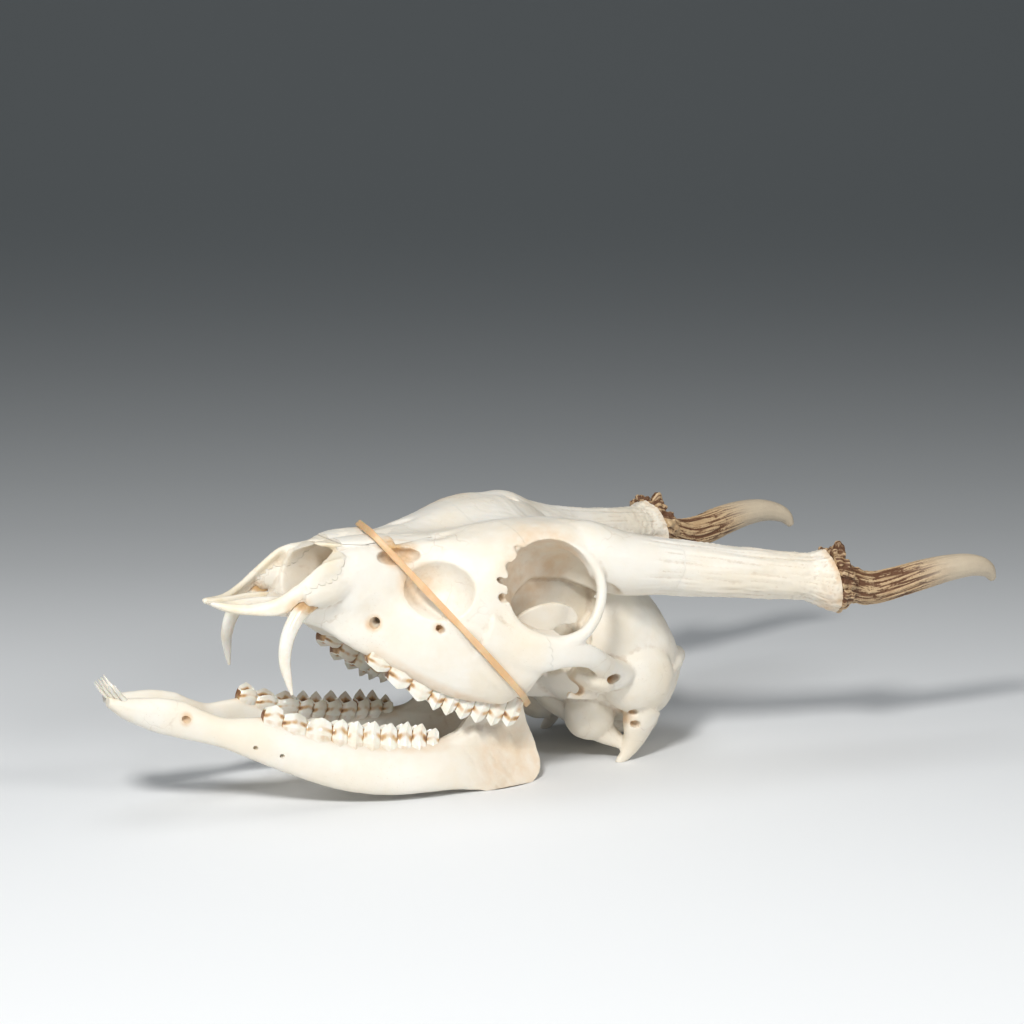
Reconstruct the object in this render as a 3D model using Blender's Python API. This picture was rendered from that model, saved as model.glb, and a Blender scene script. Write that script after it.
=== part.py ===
# Muntjac buck skull with both lower jaw halves and its rubber band, lying as it rests.
# Shapes are given in millimetres and become metres when a mesh is made.
# Skull frame: x back from the snout, y to the animal's right, z up from the upper cheek teeth.
# Jaw frame: s back from the last lower molar, v out from the jaw's middle, z up from the cusps.

import math

import bmesh
import bpy
import numpy as np

MM = 0.001

# How the skull lies: nose up, resting on the two paroccipital tips and the jaw angles
SKULL_PITCH = math.radians(24.8)
JAW_PITCH = math.radians(12.3)
JAW_YAW = math.radians(7.4)
JAW_ORIGIN = (-57.1, -0.75, 19.5)

# How far the right half of the jaw has slid back, and how far its rear has swung out about the chin
FAR_JAW_SLIDE = 1.0
FAR_JAW_SWING = math.tan(math.radians(3.0))
CHIN = -95.0

# Where the middle of the whole part's footprint lies in the skull frame's own ground axes
CENTRE = (-21.92, -1.69)

# The right pedicle and antler lie lower and further forward than the left, and its beam reaches further back
RIGHT_PEDICLE_SHIFT = (-3.4, 0.0, -3.2)
RIGHT_BEAM_SHIFT = (4.2, -8.0, 0.0)
BEAM_START = 33.0
BEAM_LENGTH = 47.0

# Openings
ORBIT = (-54.5, 34.0, 41.0)
ORBIT_RADIUS = 13.6
FACE_PIT = (-85.5, 26.5, 29.5)
GAP = 0.3

# Cheek teeth: length of each along the row, front to back
UPPER_TEETH = (7.2, 7.2, 6.6, 8.6, 9.6, 9.4)
LOWER_TEETH = (5.6, 7.0, 7.6, 9.2, 10.2, 13.0)
UPPER_LOBES = (1, 1, 1, 2, 2, 2)
LOWER_LOBES = (1, 1, 1, 2, 2, 3)
UPPER_WIDTHS = (6.0, 6.8, 7.4, 7.4, 6.8, 6.2)
LOWER_WIDTHS = (4.2, 5.0, 5.6, 6.2, 6.4, 6.0)
LOWER_CUSPS = (-0.2, -1.6, -2.0, -1.6, -1.0, 0.0)
UPPER_ROOT = 4.0
LOWER_ROOT = 3.5
LOBE_OVERLAP = 1.06
UPPER_ROW_FRONT = (-92.5, 13.4)
UPPER_ROW_BACK = (-44.2, 24.0)
LOWER_ROW_FRONT = (-53.6, 10.4)
LOWER_ROW_BACK = (-0.6, 15.9)

# Antlers
BURR_CENTRE = (29.3, 44.8, 72.3)
BURR_AXIS = (0.82, 0.18, 0.54)
BURR_RADIUS = 10.5
TINE_FOOT = (30.2, 44.8, 79.6)
TINE_LENGTH = 4.6
TINE_RADII = (2.2, 2.3, 2.1, 0.9)
TINE_AXIS = (-0.42, -0.08, 0.90)
ANTLER_PATH = ((30.5, 44.7, 72.7), (36.5, 45.8, 73.2), (43.0, 47.2, 74.2), (50.0, 49.2, 78.3),
               (57.0, 51.6, 83.6), (64.0, 53.6, 88.4), (71.0, 54.8, 91.8), (77.0, 55.0, 92.6),
               (81.3, 54.8, 90.6))
ANTLER_RADII = (6.8, 5.6, 5.1, 4.8, 4.5, 4.0, 3.4, 2.6, 1.1)

# The rubber band: its plane passes over the snout, beside the near cheek and behind the near jaw
BAND_OVER_SNOUT = (-77.5, 0.0, 79.0)
BAND_BESIDE_CHEEK = (-57.9, -29.5, 48.2)
BAND_BEHIND_JAW = (-34.2, -18.5, 24.5)
BAND_WIDTH = 2.2
BAND_THICKNESS = 1.0
BAND_CLEARANCE = 0.45
BAND_REACH = 9.0
BAND_SECTIONS = (-0.6, -0.3, 0, 0.3, 0.6)
BAND_STEPS = 72

# How finely shapes are fused, and about how many triangles each keeps
VOXEL = 0.75
CRANIUM_TRIANGLES = 5200
JAW_TRIANGLES = 900
ANTLER_TRIANGLES = 620

BONE = (0.86, 0.80, 0.69, 1.0)
OLD_BONE = (0.83, 0.74, 0.54, 1.0)
ANTLER_BROWN = (0.38, 0.24, 0.13, 1.0)
ENAMEL = (0.90, 0.87, 0.80, 1.0)
RUBBER_TAN = (0.72, 0.45, 0.20, 1.0)


def clear_scene():
    for obj in list(bpy.data.objects):
        bpy.data.objects.remove(obj, do_unlink=True)


def material(name, colour, roughness, metallic=0.0):
    made = bpy.data.materials.new(name)
    made.use_nodes = True
    shader = made.node_tree.nodes["Principled BSDF"]
    shader.inputs["Base Color"].default_value = colour
    shader.inputs["Roughness"].default_value = roughness
    shader.inputs["Metallic"].default_value = metallic
    made.diffuse_color = colour
    return made


# Curves and closed shapes, each a pair of points and faces

def smooth_rows(rows, steps):
    """A smooth curve through the rows, which may hold any numbers, with steps to each stretch."""
    rows = np.array(rows, float)
    padded = np.vstack((2 * rows[0] - rows[1], rows, 2 * rows[-1] - rows[-2]))
    made = []
    for i in range(len(rows) - 1):
        a, b, c, d = padded[i:i + 4]
        for k in range(steps):
            t = k / steps
            made.append(0.5 * (2 * b + (c - a) * t + (2 * a - 5 * b + 4 * c - d) * t * t
                               + (3 * b - a - 3 * c + d) * t ** 3))
    made.append(rows[-1])
    return np.array(made)


def smooth_ring(rows, steps):
    """The same through a closed ring of rows."""
    rows = np.array(rows, float)
    count = len(rows)
    made = []
    for i in range(count):
        a, b, c, d = (rows[(i + k - 1) % count] for k in range(4))
        for k in range(steps):
            t = k / steps
            made.append(0.5 * (2 * b + (c - a) * t + (2 * a - 5 * b + 4 * c - d) * t * t
                               + (3 * b - a - 3 * c + d) * t ** 3))
    return np.array(made)


def skin_rings(rings, closed=False):
    """Faces over rings of equally many points, with flat ends unless the rings close on themselves."""
    count, sides = len(rings), len(rings[0])
    faces = []
    for i in range(count if closed else count - 1):
        for j in range(sides):
            k = (j + 1) % sides
            a, b = i * sides, ((i + 1) % count) * sides
            faces.append((a + j, a + k, b + k, b + j))
    if not closed:
        faces.append(tuple(range(sides))[::-1])
        faces.append(tuple((count - 1) * sides + j for j in range(sides)))
    return np.vstack(rings), faces


def tube(path, radii, across=(0, 1, 0), sides=14, steps=5, closed=False):
    """A round or flattened bar along a smooth path. Radii are one number or (across, along the other way)."""
    pairs = [(r, r) if np.isscalar(r) else tuple(r) for r in radii]
    rows = [tuple(p) + r for p, r in zip(path, pairs)]
    rows = smooth_ring(rows, steps) if closed else smooth_rows(rows, steps)
    points = rows[:, :3]
    if closed:
        tangents = np.roll(points, -1, 0) - np.roll(points, 1, 0)
    else:
        tangents = np.gradient(points, axis=0)
    tangents /= np.linalg.norm(tangents, axis=1)[:, None]
    angles = np.arange(sides) * 2 * math.pi / sides
    rings = []
    for row, forward in zip(rows, tangents):
        side = np.array(across, float)
        side = side - forward * side.dot(forward)
        side /= np.linalg.norm(side)
        up = np.cross(side, forward)
        rings.append(row[:3] + np.outer(np.cos(angles) * row[3], side)
                     + np.outer(np.sin(angles) * row[4], up))
    return skin_rings(rings, closed)


def curved_plate(rows, thickness, steps=3, across=3):
    """A thin bent sheet through rows of points, with one thickness to each row."""
    rows = np.array(rows, float)
    lines = [smooth_rows(rows[:, j], steps) for j in range(rows.shape[1])]
    fine = np.array([smooth_rows(row, across) for row in np.array(lines).transpose(1, 0, 2)])
    thick = smooth_rows([(value,) for value in thickness], steps)[:, 0]
    out = np.cross(np.gradient(fine, axis=0), np.gradient(fine, axis=1))
    out /= np.linalg.norm(out, axis=2)[:, :, None]
    push = out * thick[:, None, None] / 2
    return skin_rings([np.vstack((a, b[::-1])) for a, b in zip(fine + push, fine - push)])


def ball(centre, radii, turn=0.0, sides=20):
    """An ellipsoid, turned about the y axis by so many degrees."""
    heights = np.linspace(-math.pi / 2, math.pi / 2, sides // 2 + 2)[1:-1]
    angles = np.arange(sides) * 2 * math.pi / sides
    rings = []
    for height in heights:
        rings.append(np.column_stack((np.cos(height) * np.cos(angles) * radii[0],
                                      np.cos(height) * np.sin(angles) * radii[1],
                                      np.full(sides, math.sin(height) * radii[2]))))
    points, faces = skin_rings(rings)
    turned = math.radians(turn)
    x = points[:, 0] * math.cos(turned) + points[:, 2] * math.sin(turned)
    z = -points[:, 0] * math.sin(turned) + points[:, 2] * math.cos(turned)
    return np.column_stack((x, points[:, 1], z)) + np.array(centre, float), faces


def half_profile_loft(rows, steps=4, ring_steps=4):
    """A body mirrored about y = 0. Each row is x, the middle top z, four (y, z) and the middle floor z."""
    rings = []
    for row in smooth_rows(rows, steps):
        x, top, *sides, floor = row
        right = [(0.0, top)] + [(sides[i], sides[i + 1]) for i in range(0, len(sides), 2)]
        left = [(-y, z) for y, z in right[:0:-1]]
        ring = smooth_ring(right + [(0.0, floor)] + left, ring_steps)
        rings.append(np.column_stack((np.full(len(ring), x), ring)))
    return skin_rings(rings)


def oval_loft(rows, power=2.4, sides=32, steps=5):
    """A body mirrored about y = 0. Each row is x, half width, lowest z and highest z."""
    angles = np.arange(sides) * 2 * math.pi / sides
    rings = []
    for x, half, low, high in smooth_rows(rows, steps):
        y = np.sign(np.cos(angles)) * np.abs(np.cos(angles)) ** (2 / power) * half
        z = np.sign(np.sin(angles)) * np.abs(np.sin(angles)) ** (2 / power) * (high - low) / 2
        rings.append(np.column_stack((np.full(sides, x), y, z + (high + low) / 2)))
    return skin_rings(rings)


def slab(outline, low, high):
    """A prism of an x, z outline, from y = low to y = high."""
    outline = np.array(outline, float)
    ends = [np.column_stack((outline[:, 0], np.full(len(outline), y), outline[:, 1])) for y in (low, high)]
    return skin_rings(ends)


def block(centre, axis, near, far, half):
    """A square bar along an axis through a point, from near to far of the point."""
    axis = np.array(axis, float) / np.linalg.norm(axis)
    side = np.cross(axis, (0, 1, 0))
    side /= np.linalg.norm(side)
    up = np.cross(side, axis)
    corners = ((-1, -1), (1, -1), (1, 1), (-1, 1))
    rings = []
    for along in (near, far):
        rings.append(np.array([centre + axis * along + (side * a + up * b) * half for a, b in corners]))
    return skin_rings(rings)


def mirrored(shapes):
    """The shapes, given on the animal's right, and their copies on its left."""
    return shapes + [(points * (1, -1, 1), faces) for points, faces in shapes]


# Placing shapes in the scene

def uneven(points):
    """Moves the right pedicle and antler to where they really lie, growing from nothing at the brow."""
    x, y, z = points.T
    share = np.clip((x + 44) / 40, 0, 1) * np.clip((y - 12) / 12, 0, 1) * np.clip((z - 44) / 10, 0, 1)
    share = share * share * (3 - 2 * share)
    reach = np.clip((x - BEAM_START) / BEAM_LENGTH, 0, 1)
    return points + share[:, None] * (np.array(RIGHT_PEDICLE_SHIFT) + np.outer(reach, RIGHT_BEAM_SHIFT))


def skull_to_scene(points):
    c, s = math.cos(SKULL_PITCH), math.sin(SKULL_PITCH)
    x, y, z = uneven(np.array(points, float)).T
    return np.column_stack((x * c + z * s - CENTRE[0], y - CENTRE[1], z * c - x * s))


def jaw_to_scene(points, side):
    """Jaw points to the scene. Side is -1 for the left half and 1 for the right, which lies further back."""
    s, v, z = np.array(points, float).T
    s = s + (FAR_JAW_SLIDE if side > 0 else 0.0)
    back = np.array((math.cos(JAW_YAW) * math.cos(JAW_PITCH), -math.sin(JAW_YAW) * math.cos(JAW_PITCH),
                     -math.sin(JAW_PITCH)))
    out = np.array((math.sin(JAW_YAW), math.cos(JAW_YAW), 0.0))
    up = np.cross(back, out)
    placed = np.outer(s, back) + np.outer(v * side, out) + np.outer(z, up) + np.array(JAW_ORIGIN)
    return placed - np.array((CENTRE[0], CENTRE[1], 0.0))


def mesh_object(name, shapes):
    """One object of closed shapes whose points are millimetres in the scene's own axes."""
    points, faces, count = [], [], 0
    for shape_points, shape_faces in shapes:
        points.append(shape_points)
        faces += [tuple(count + i for i in face) for face in shape_faces]
        count += len(shape_points)
    mesh = bpy.data.meshes.new(name)
    mesh.from_pydata((np.vstack(points) * MM).tolist(), [], faces)
    filled = bmesh.new()
    filled.from_mesh(mesh)
    bmesh.ops.recalc_face_normals(filled, faces=filled.faces)
    filled.to_mesh(mesh)
    filled.free()
    obj = bpy.data.objects.new(name, mesh)
    bpy.context.scene.collection.objects.link(obj)
    return obj


def apply_modifiers(obj):
    graph = bpy.context.evaluated_depsgraph_get()
    mesh = bpy.data.meshes.new_from_object(obj.evaluated_get(graph))
    obj.modifiers.clear()
    obj.data = mesh


def remove(obj):
    bpy.data.objects.remove(obj, do_unlink=True)


def fuse(obj, voxel=VOXEL, smoothing=5):
    """Makes the overlapping shapes of an object one rounded body."""
    remesh = obj.modifiers.new("fuse", "REMESH")
    remesh.mode = "VOXEL"
    remesh.voxel_size = voxel * MM
    soften = obj.modifiers.new("soften", "SMOOTH")
    soften.factor = 0.5
    soften.iterations = smoothing
    apply_modifiers(obj)


def thin_out(obj, triangles):
    """Fewer faces where the surface is calm, down to about so many triangles."""
    obj.data.calc_loop_triangles()
    reduce = obj.modifiers.new("thin out", "DECIMATE")
    reduce.ratio = min(1.0, triangles / len(obj.data.loop_triangles))
    apply_modifiers(obj)


def combine(obj, other, operation, keep_other=False):
    change = obj.modifiers.new(operation.lower(), "BOOLEAN")
    change.operation = operation
    change.object = other
    change.solver = "EXACT"
    apply_modifiers(obj)
    if not keep_other:
        remove(other)


def keep_largest(obj):
    """Leaves only the largest closed surface of an object."""
    body = bmesh.new()
    body.from_mesh(obj.data)
    bmesh.ops.triangulate(body, faces=body.faces)
    bmesh.ops.remove_doubles(body, verts=body.verts, dist=1e-7)
    left = set(body.faces)
    surfaces = []
    while left:
        found = {left.pop()}
        front = list(found)
        while front:
            face = front.pop()
            for edge in face.edges:
                for other in edge.link_faces:
                    if other in left:
                        left.remove(other)
                        found.add(other)
                        front.append(other)
        surfaces.append(found)
    largest = max(surfaces, key=lambda found: sum(face.calc_area() for face in found))
    dropped = [face for face in body.faces if face not in largest]
    bmesh.ops.delete(body, geom=dropped, context="FACES")
    body.to_mesh(obj.data)
    body.free()


def loose_pieces(obj):
    """The separate surfaces of an object as objects of their own, the largest first."""
    bpy.ops.object.select_all(action="DESELECT")
    obj.select_set(True)
    bpy.context.view_layer.objects.active = obj
    bpy.ops.mesh.separate(type="LOOSE")
    pieces = list(bpy.context.selected_objects)
    return sorted(pieces, key=lambda piece: -sum(face.area for face in piece.data.polygons))


def finish(obj, name, made_of):
    keep_largest(obj)
    obj.name = name
    obj.data.name = name
    obj.data.materials.clear()
    obj.data.materials.append(made_of)
    obj.data.shade_smooth()
    obj.data.set_sharp_from_angle(angle=math.radians(40))


# The cranium

def cranium_shapes():
    face = half_profile_loft((
        (-115, 25.0, 6, 24.5, 10.8, 23.0, 13.2, 16.0, 10.5, 7.0, 8.5),
        (-107, 31.6, 6, 31.2, 11.8, 30.4, 14.2, 21.0, 10.4, 7.2, 9.0),
        (-98, 35.8, 7, 35.0, 13.0, 32.6, 15.6, 19.0, 12.0, 5.0, 9.0),
        (-90, 39.4, 8, 39.0, 14.0, 35.4, 18.5, 16.0, 15.5, 3.8, 9.0),
        (-80, 43.4, 10, 44.6, 19.5, 40.5, 24.6, 18.5, 19.5, 2.5, 9.0),
        (-72, 47.0, 12, 50.0, 26.2, 43.6, 28.6, 23.0, 22.5, 1.5, 9.5),
        (-64, 51.2, 14, 54.8, 27.6, 50.3, 31.0, 26.0, 24.5, 1.8, 10.0),
        (-55, 55.2, 16.5, 58.8, 29.3, 54.4, 33.0, 26.0, 26.0, 4.0, 10.0),
        (-47, 57.5, 19, 61.3, 31.2, 55.4, 33.6, 24.0, 26.5, 8.0, 11.0),
    ))
    brow = half_profile_loft((
        (-50, 57.0, 18, 60.6, 30.2, 55.2, 29.0, 50.0, 12.0, 44.0, 42.0),
        (-40, 57.5, 21, 62.0, 31.5, 56.0, 29.0, 49.0, 14.0, 42.0, 40.0),
        (-30, 57.0, 22, 61.0, 31.0, 57.0, 28.0, 49.0, 14.0, 42.0, 40.0),
    ))
    case = oval_loft((
        (-42, 15.0, 17, 57), (-34, 20.0, 13, 57.5), (-26, 24.6, 10.5, 56.6), (-16, 26.2, 9.5, 54.0),
        (-5, 25.2, 9.0, 50.0), (3, 22.8, 9.8, 45.2), (9.5, 18.8, 11.6, 40.8), (14.5, 13.8, 14.6, 37.4),
        (17.8, 8.0, 18.6, 34.8),
    ))
    base = tube(((15, 0, 13.0), (5, 0, 10.0), (-4, 0, 9.0), (-14, 0, 9.6), (-28, 0, 13.5), (-44, 0, 17.0)),
                ((6, 4), (8, 4.4), (9, 4.6), (8, 4.2), (5, 4), (6, 6)))
    boss = ball((20.2, 0, 32.4), (2.8, 4.4, 4.0))
    core = ball((-44, 0, 35), (24, 20.5, 20.5))
    ring = tube(((-68.6, 26.6, 38), (-67.0, 25.8, 45.6), (-62.0, 26.4, 50.8), (-54.8, 28.2, 53.2),
                 (-47.2, 30.6, 53.2), (-41.2, 33.6, 49.0), (-39.0, 36.0, 42), (-40.0, 36.9, 34),
                 (-43.9, 36.4, 28.6), (-50, 34.4, 25.6), (-58, 31.8, 25.9), (-65.0, 29.0, 29.7)),
                ((1.7, 1.7), (1.6, 1.6), (1.6, 1.4), (1.6, 1.4), (1.8, 1.5), (1.7, 1.6), (1.5, 1.6),
                 (1.6, 1.7), (2.0, 2.2), (2.2, 2.4), (2.2, 2.4), (2.0, 2.0)), closed=True)
    arch = tube(((-72, 25.0, 19), (-62, 30.6, 20.6), (-52, 34.4, 22.0), (-44, 36.6, 24.8), (-36, 36.4, 26.0),
                 (-29, 34.0, 25.2), (-22, 30.0, 24.4), (-14, 25.5, 25)),
                ((2.0, 6.0), (2.3, 6.6), (2.4, 6.0), (2.0, 4.4), (1.9, 3.5), (2.2, 3.4), (2.8, 3.4),
                 (3.5, 3.0)))
    # the cheek bone below the eye, down to the back of the tooth row
    cheek = curved_plate((((-68, 22.5, 5.0), (-68, 26.6, 12.0), (-68, 29.4, 20.0), (-68, 29.4, 27.0)),
                         ((-60, 24.0, 3.8), (-60, 29.0, 11.0), (-60, 31.6, 18.0), (-60, 31.8, 25.0)),
                         ((-53.5, 25.6, 4.6), (-53, 30.4, 11.0), (-52.5, 33.4, 17.0), (-52.5, 34.4, 24.0)),
                         ((-50.2, 26.6, 6.6), (-49.2, 31.0, 11.6), (-48.2, 33.8, 17.0), (-47.0, 35.6, 25.0))),
                        (3.4, 3.6, 3.2, 2.2))
    glenoid = ball((-26, 26.5, 20.0), (7.5, 8.0, 3.4))
    side_wall = ball((-7, 22.5, 25), (13, 6.5, 11))
    bulla = ball((-12.0, 13.6, 9.6), (8.2, 6.6, 7.8))
    ear = tube(((-19, 20, 19.5), (-22.5, 26, 21.0), (-24.0, 30.2, 21.8)), (4.2, 3.8, 3.6))
    process = tube(((-0.5, 21.5, 17), (0.0, 22.0, 12), (0.8, 21.8, 7.5), (0.6, 21.3, 3.4), (-0.7, 20.9, -0.2),
                    (-1.3, 20.8, -1.4)),
                   ((5.0, 6.4), (3.4, 5.4), (2.2, 3.8), (1.6, 2.3), (1.2, 1.5), (1.0, 1.2)))
    web = tube(((-11, 13, 8.0), (-6.5, 15.6, 6.2), (-3.0, 18.4, 5.4), (-0.5, 20.4, 4.4)),
               ((4.5, 5.0), (3.0, 3.8), (1.8, 2.6), (1.0, 1.6)))
    # the thin edge of bone under the jaw joint
    shelf = tube(((-43, 25.4, 12.6), (-37, 27.0, 13.0), (-30, 27.6, 14.2), (-22, 26.0, 16.6)),
                 ((0.9, 1.3), (0.9, 1.4), (1.1, 1.6), (2.2, 2.2)))
    condyle = ball((11.6, 8.0, 14.6), (4.2, 4.4, 5.6), turn=-20)
    crest = tube(((-1, 23.4, 25), (7, 18.8, 31.8), (13.6, 10.6, 35.6), (19.0, 0.0, 36.0)),
                 (2.2, 2.0, 1.9, 1.8))
    # bone over the root of the canine
    socket = tube(((-119.6, 13.8, 12.5), (-114.5, 13.2, 16.0), (-108, 12.4, 20.0), (-101, 11.2, 24)),
                  ((2.6, 3.0), (2.9, 3.9), (2.4, 3.6), (1.6, 2.0)))
    ear_rim = ball((-21.0, 26.8, 22.6), (9.6, 4.4, 4.9), turn=-17)
    wing = tube(((-47, 9.4, 13), (-39, 9.0, 11.5), (-30, 8.6, 12.5), (-23, 8.0, 13)),
                ((1.1, 6.0), (1.1, 5.2), (1.1, 4.0), (1.2, 2.6)))
    root = tube(((-52, 20, 53), (-42, 23.5, 53.5), (-31, 26.6, 54.4), (-18, 29.4, 58.0), (-6, 33.1, 61.4),
                 (10, 37.3, 66.2), (24, 41.8, 70.6), (30, 43.8, 72.3)),
                (7, 9.6, 9.4, 8.4, 7.8, 7.3, 7.0, 7.8))
    rim = tube(((24, 42, 70.6), (29, 43.9, 72.2), (33.5, 44.6, 73.4)), (7.0, 9.0, 10.2))
    premaxilla = curved_plate((((-140.2, 2.0, 2.2), (-140.2, 1.9, 2.7), (-140.1, 1.8, 3.2)),
                              ((-137.6, 3.7, 2.0), (-137.4, 3.6, 3.0), (-137.0, 3.4, 4.0)),
                              ((-134.2, 6.0, 2.4), (-133.8, 5.9, 3.7), (-133.2, 5.5, 5.2)),
                              ((-130.0, 9.0, 3.8), (-129.8, 8.7, 5.4), (-129.4, 7.9, 7.2)),
                              ((-125.4, 11.6, 5.6), (-125.2, 11.7, 8.4), (-125.0, 10.6, 11.2)),
                              ((-121.6, 13.2, 8.6), (-121.0, 13.2, 13.4), (-120.4, 11.8, 18.0)),
                              ((-118.0, 13.8, 13.0), (-117.0, 13.4, 19.0), (-116.4, 11.8, 24.2)),
                              ((-110.0, 12.4, 19.0), (-109.6, 12.4, 24.0), (-109.4, 11.4, 28.6))),
                             (1.5, 2.1, 2.3, 2.1, 1.9, 1.9, 1.9, 1.7))
    floor_bar = curved_plate((((-140.0, 2.0, 2.0), (-139.8, 2.0, 2.6), (-139.6, 2.2, 3.2)),
                            ((-134, 4.6, 2.9), (-133.6, 2.6, 4.0), (-133.4, 2.4, 6.0)),
                            ((-126, 6.0, 4.8), (-126, 3.4, 5.8), (-126, 3.0, 9.4)),
                            ((-117, 6.4, 7.0), (-117, 4.0, 8.4), (-117, 3.6, 12.0)),
                            ((-106, 6.6, 8.0), (-106, 4.2, 9.6), (-106, 3.8, 13.0))),
                           (1.4, 1.7, 1.7, 1.7, 1.7))
    nasal = tube(((-116.2, 1.3, 27.8), (-113, 2.2, 29.2), (-108.6, 3.8, 31.4), (-103, 4.8, 33.9),
                  (-95, 5, 36.9)),
                 ((0.9, 0.5), (2.0, 0.9), (3.9, 1.2), (4.8, 1.4), (5.0, 1.5)))
    sides = [ring, arch, cheek, glenoid, side_wall, bulla, ear, ear_rim, process, web, shelf, condyle,
             crest, wing, root, rim, premaxilla, floor_bar, nasal, socket]
    return [face, brow, case, base, boss, core] + mirrored(sides)


def cranium_openings():
    nose = tube(((-128, 0, 18), (-116, 0, 19.5), (-104, 0, 22), (-94, 0, 24)),
                ((8.5, 7.0), (9.6, 8.6), (9.6, 8.6), (7.0, 6.0)))
    throat = tube(((-48, 0, 11), (-40, 0, 8.5), (-26, 0, 5.5)), ((7.2, 5.5), (7.6, 6.0), (6.8, 5.0)))
    brain_door = ball((21, 0, 20.5), (10, 6.2, 5.8))
    orbit = ball(ORBIT, (ORBIT_RADIUS, 19.5, ORBIT_RADIUS))
    inner_orbit = ball((-46.5, 24.2, 39.5), (15.5, 9.4, 13.0))
    temple = ball((-34.5, 29.6, 36.5), (9.5, 5.6, 13.6), turn=-10)
    under_arch = ball((-39.5, 24.0, 16), (8.0, 10.0, 17))
    notch = slab(((-57, -9), (-57.5, 4), (-57, 14), (-56, 24), (-56, 32), (-50, 41), (-40, 44.5),
                  (-28, 44.5), (-25, 38), (-28, 30), (-29, 22), (-31.5, 16), (-32, 8), (-32, -9)), 13.2, 20.6)
    behind = slab(((-39, -9), (-39, 42), (-29, 42), (-27, 36), (-28, 22), (-31.5, 16), (-32, -9)), 15, 22.2)
    seat = slab(((-43, 22), (-39, 20.5), (-31, 20.5), (-27.6, 24), (-27.6, 31), (-32, 34), (-40, 34),
                 (-43, 31)), 11.8, 23.6)
    pit = ball(FACE_PIT, (11.0, 12.0, 10.2))
    slot = ball((-94.6, 13.6, 33.6), (7.0, 4.2, 2.3), turn=-22)
    ear_hole = ball((-22.4, 31.6, 22.2), (3.4, 4.6, 1.6), turn=-17)
    nerve_hole = tube(((-92, 11, 15.4), (-95, 15.2, 13.6), (-99.5, 19.0, 12.2)),
                      ((1.3, 2.0), (1.4, 2.1), (1.6, 2.4)))
    sides = [orbit, inner_orbit, temple, under_arch, notch, behind, seat, pit, slot, ear_hole, nerve_hole]
    return [nose, throat, brain_door] + mirrored(sides)


def ribbon(outline, low, high, side=1):
    """A wall GAP thick along an x, z line, from y = low to y = high, which parts the bones beside it."""
    outline = np.array(outline, float)
    along = np.gradient(outline, axis=0)
    along /= np.linalg.norm(along, axis=1)[:, None]
    over = np.column_stack((-along[:, 1], along[:, 0])) * GAP / 2
    return slab(np.vstack((outline + over, (outline - over)[::-1])), low * side, high * side)


def sutures():
    """The thin cuts that part the cranium into its bones."""
    snout = ribbon(((-124, 0.0), (-121.6, 6), (-120.2, 13.5), (-117.6, 17.5), (-112, 21.3), (-110.4, 26.5),
                    (-110.0, 32.15)), -30, 30)
    roof = ribbon(((-128, 24.2), (-118, 28.0), (-111, 30.6), (-104, 33.2), (-95, 35.8), (-87, 38.2),
                   (-84.0, 41.2), (-83.5, 52)), -9.8, 9.8)
    between = slab(((-128, 24), (-118, 28), (-84, 38), (-83.6, 52), (-128, 52)), -GAP / 2, GAP / 2)
    below = slab(((-145, -3), (-124, -3), (-109.8, 24), (-109.8, 32), (-145, 32)), -GAP / 2, GAP / 2)
    beside = slab(((-105, 32.8), (-87, 38.0), (-83.6, 41.2), (-83.3, 52), (-105, 52)), 9.5, 9.5 + GAP)
    orbit = ribbon(((-75, 74), (-66, 52), (-54, 30), (-49.5, 23), (-46.2, 15.5), (-42.8, 8), (-38, -6)),
                   -60, 60)
    stalk = ribbon(((-13.6, 40), (-19.6, 78)), 15, 70)
    tall = ribbon(((-110.5, 25), (-110.0, 31), (-109.6, 38)), 9.6, 30)
    return [snout, roof, between, below, orbit], [beside, stalk, tall]


def build_cranium():
    whole = mesh_object("cranium", cranium_shapes())
    fuse(whole)
    openings = mesh_object("openings", cranium_openings())
    fuse(openings, smoothing=2)
    thin_out(openings, 5000)
    thin_out(whole, 16000)
    combine(whole, openings, "DIFFERENCE")
    keep_largest(whole)
    thin_out(whole, CRANIUM_TRIANGLES)
    keep_largest(whole)
    sockets = [canine(grown=GAP), block(BURR_CENTRE, BURR_AXIS, 0.5, 30, 16)]
    for cut in mirrored(sockets):
        combine(whole, mesh_object("socket", [cut]), "DIFFERENCE")
    middle, sides = sutures()
    for cut in middle + mirrored(sides):
        combine(whole, mesh_object("suture", [cut]), "DIFFERENCE")
    return whole


def split_bones(whole):
    """One object for each of the bones that the sutures part, named by where its middle lies."""
    bones = {}
    for piece in loose_pieces(whole):
        x, y, z = np.mean([v.co for v in piece.data.vertices], axis=0) / MM
        side = "left" if y < 0 else "right"
        if x < -119:
            name = "premaxilla_" + side
        elif x < -92 and z > 30:
            name = "nasal_" + side
        elif abs(y) > 20 and x > -10 and z > 50:
            name = "pedicle_" + side
        elif x < -60:
            name = "face"
        else:
            name = "braincase"
        if name in bones:
            remove(piece)
        else:
            bones[name] = piece
    return bones


# Teeth

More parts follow.
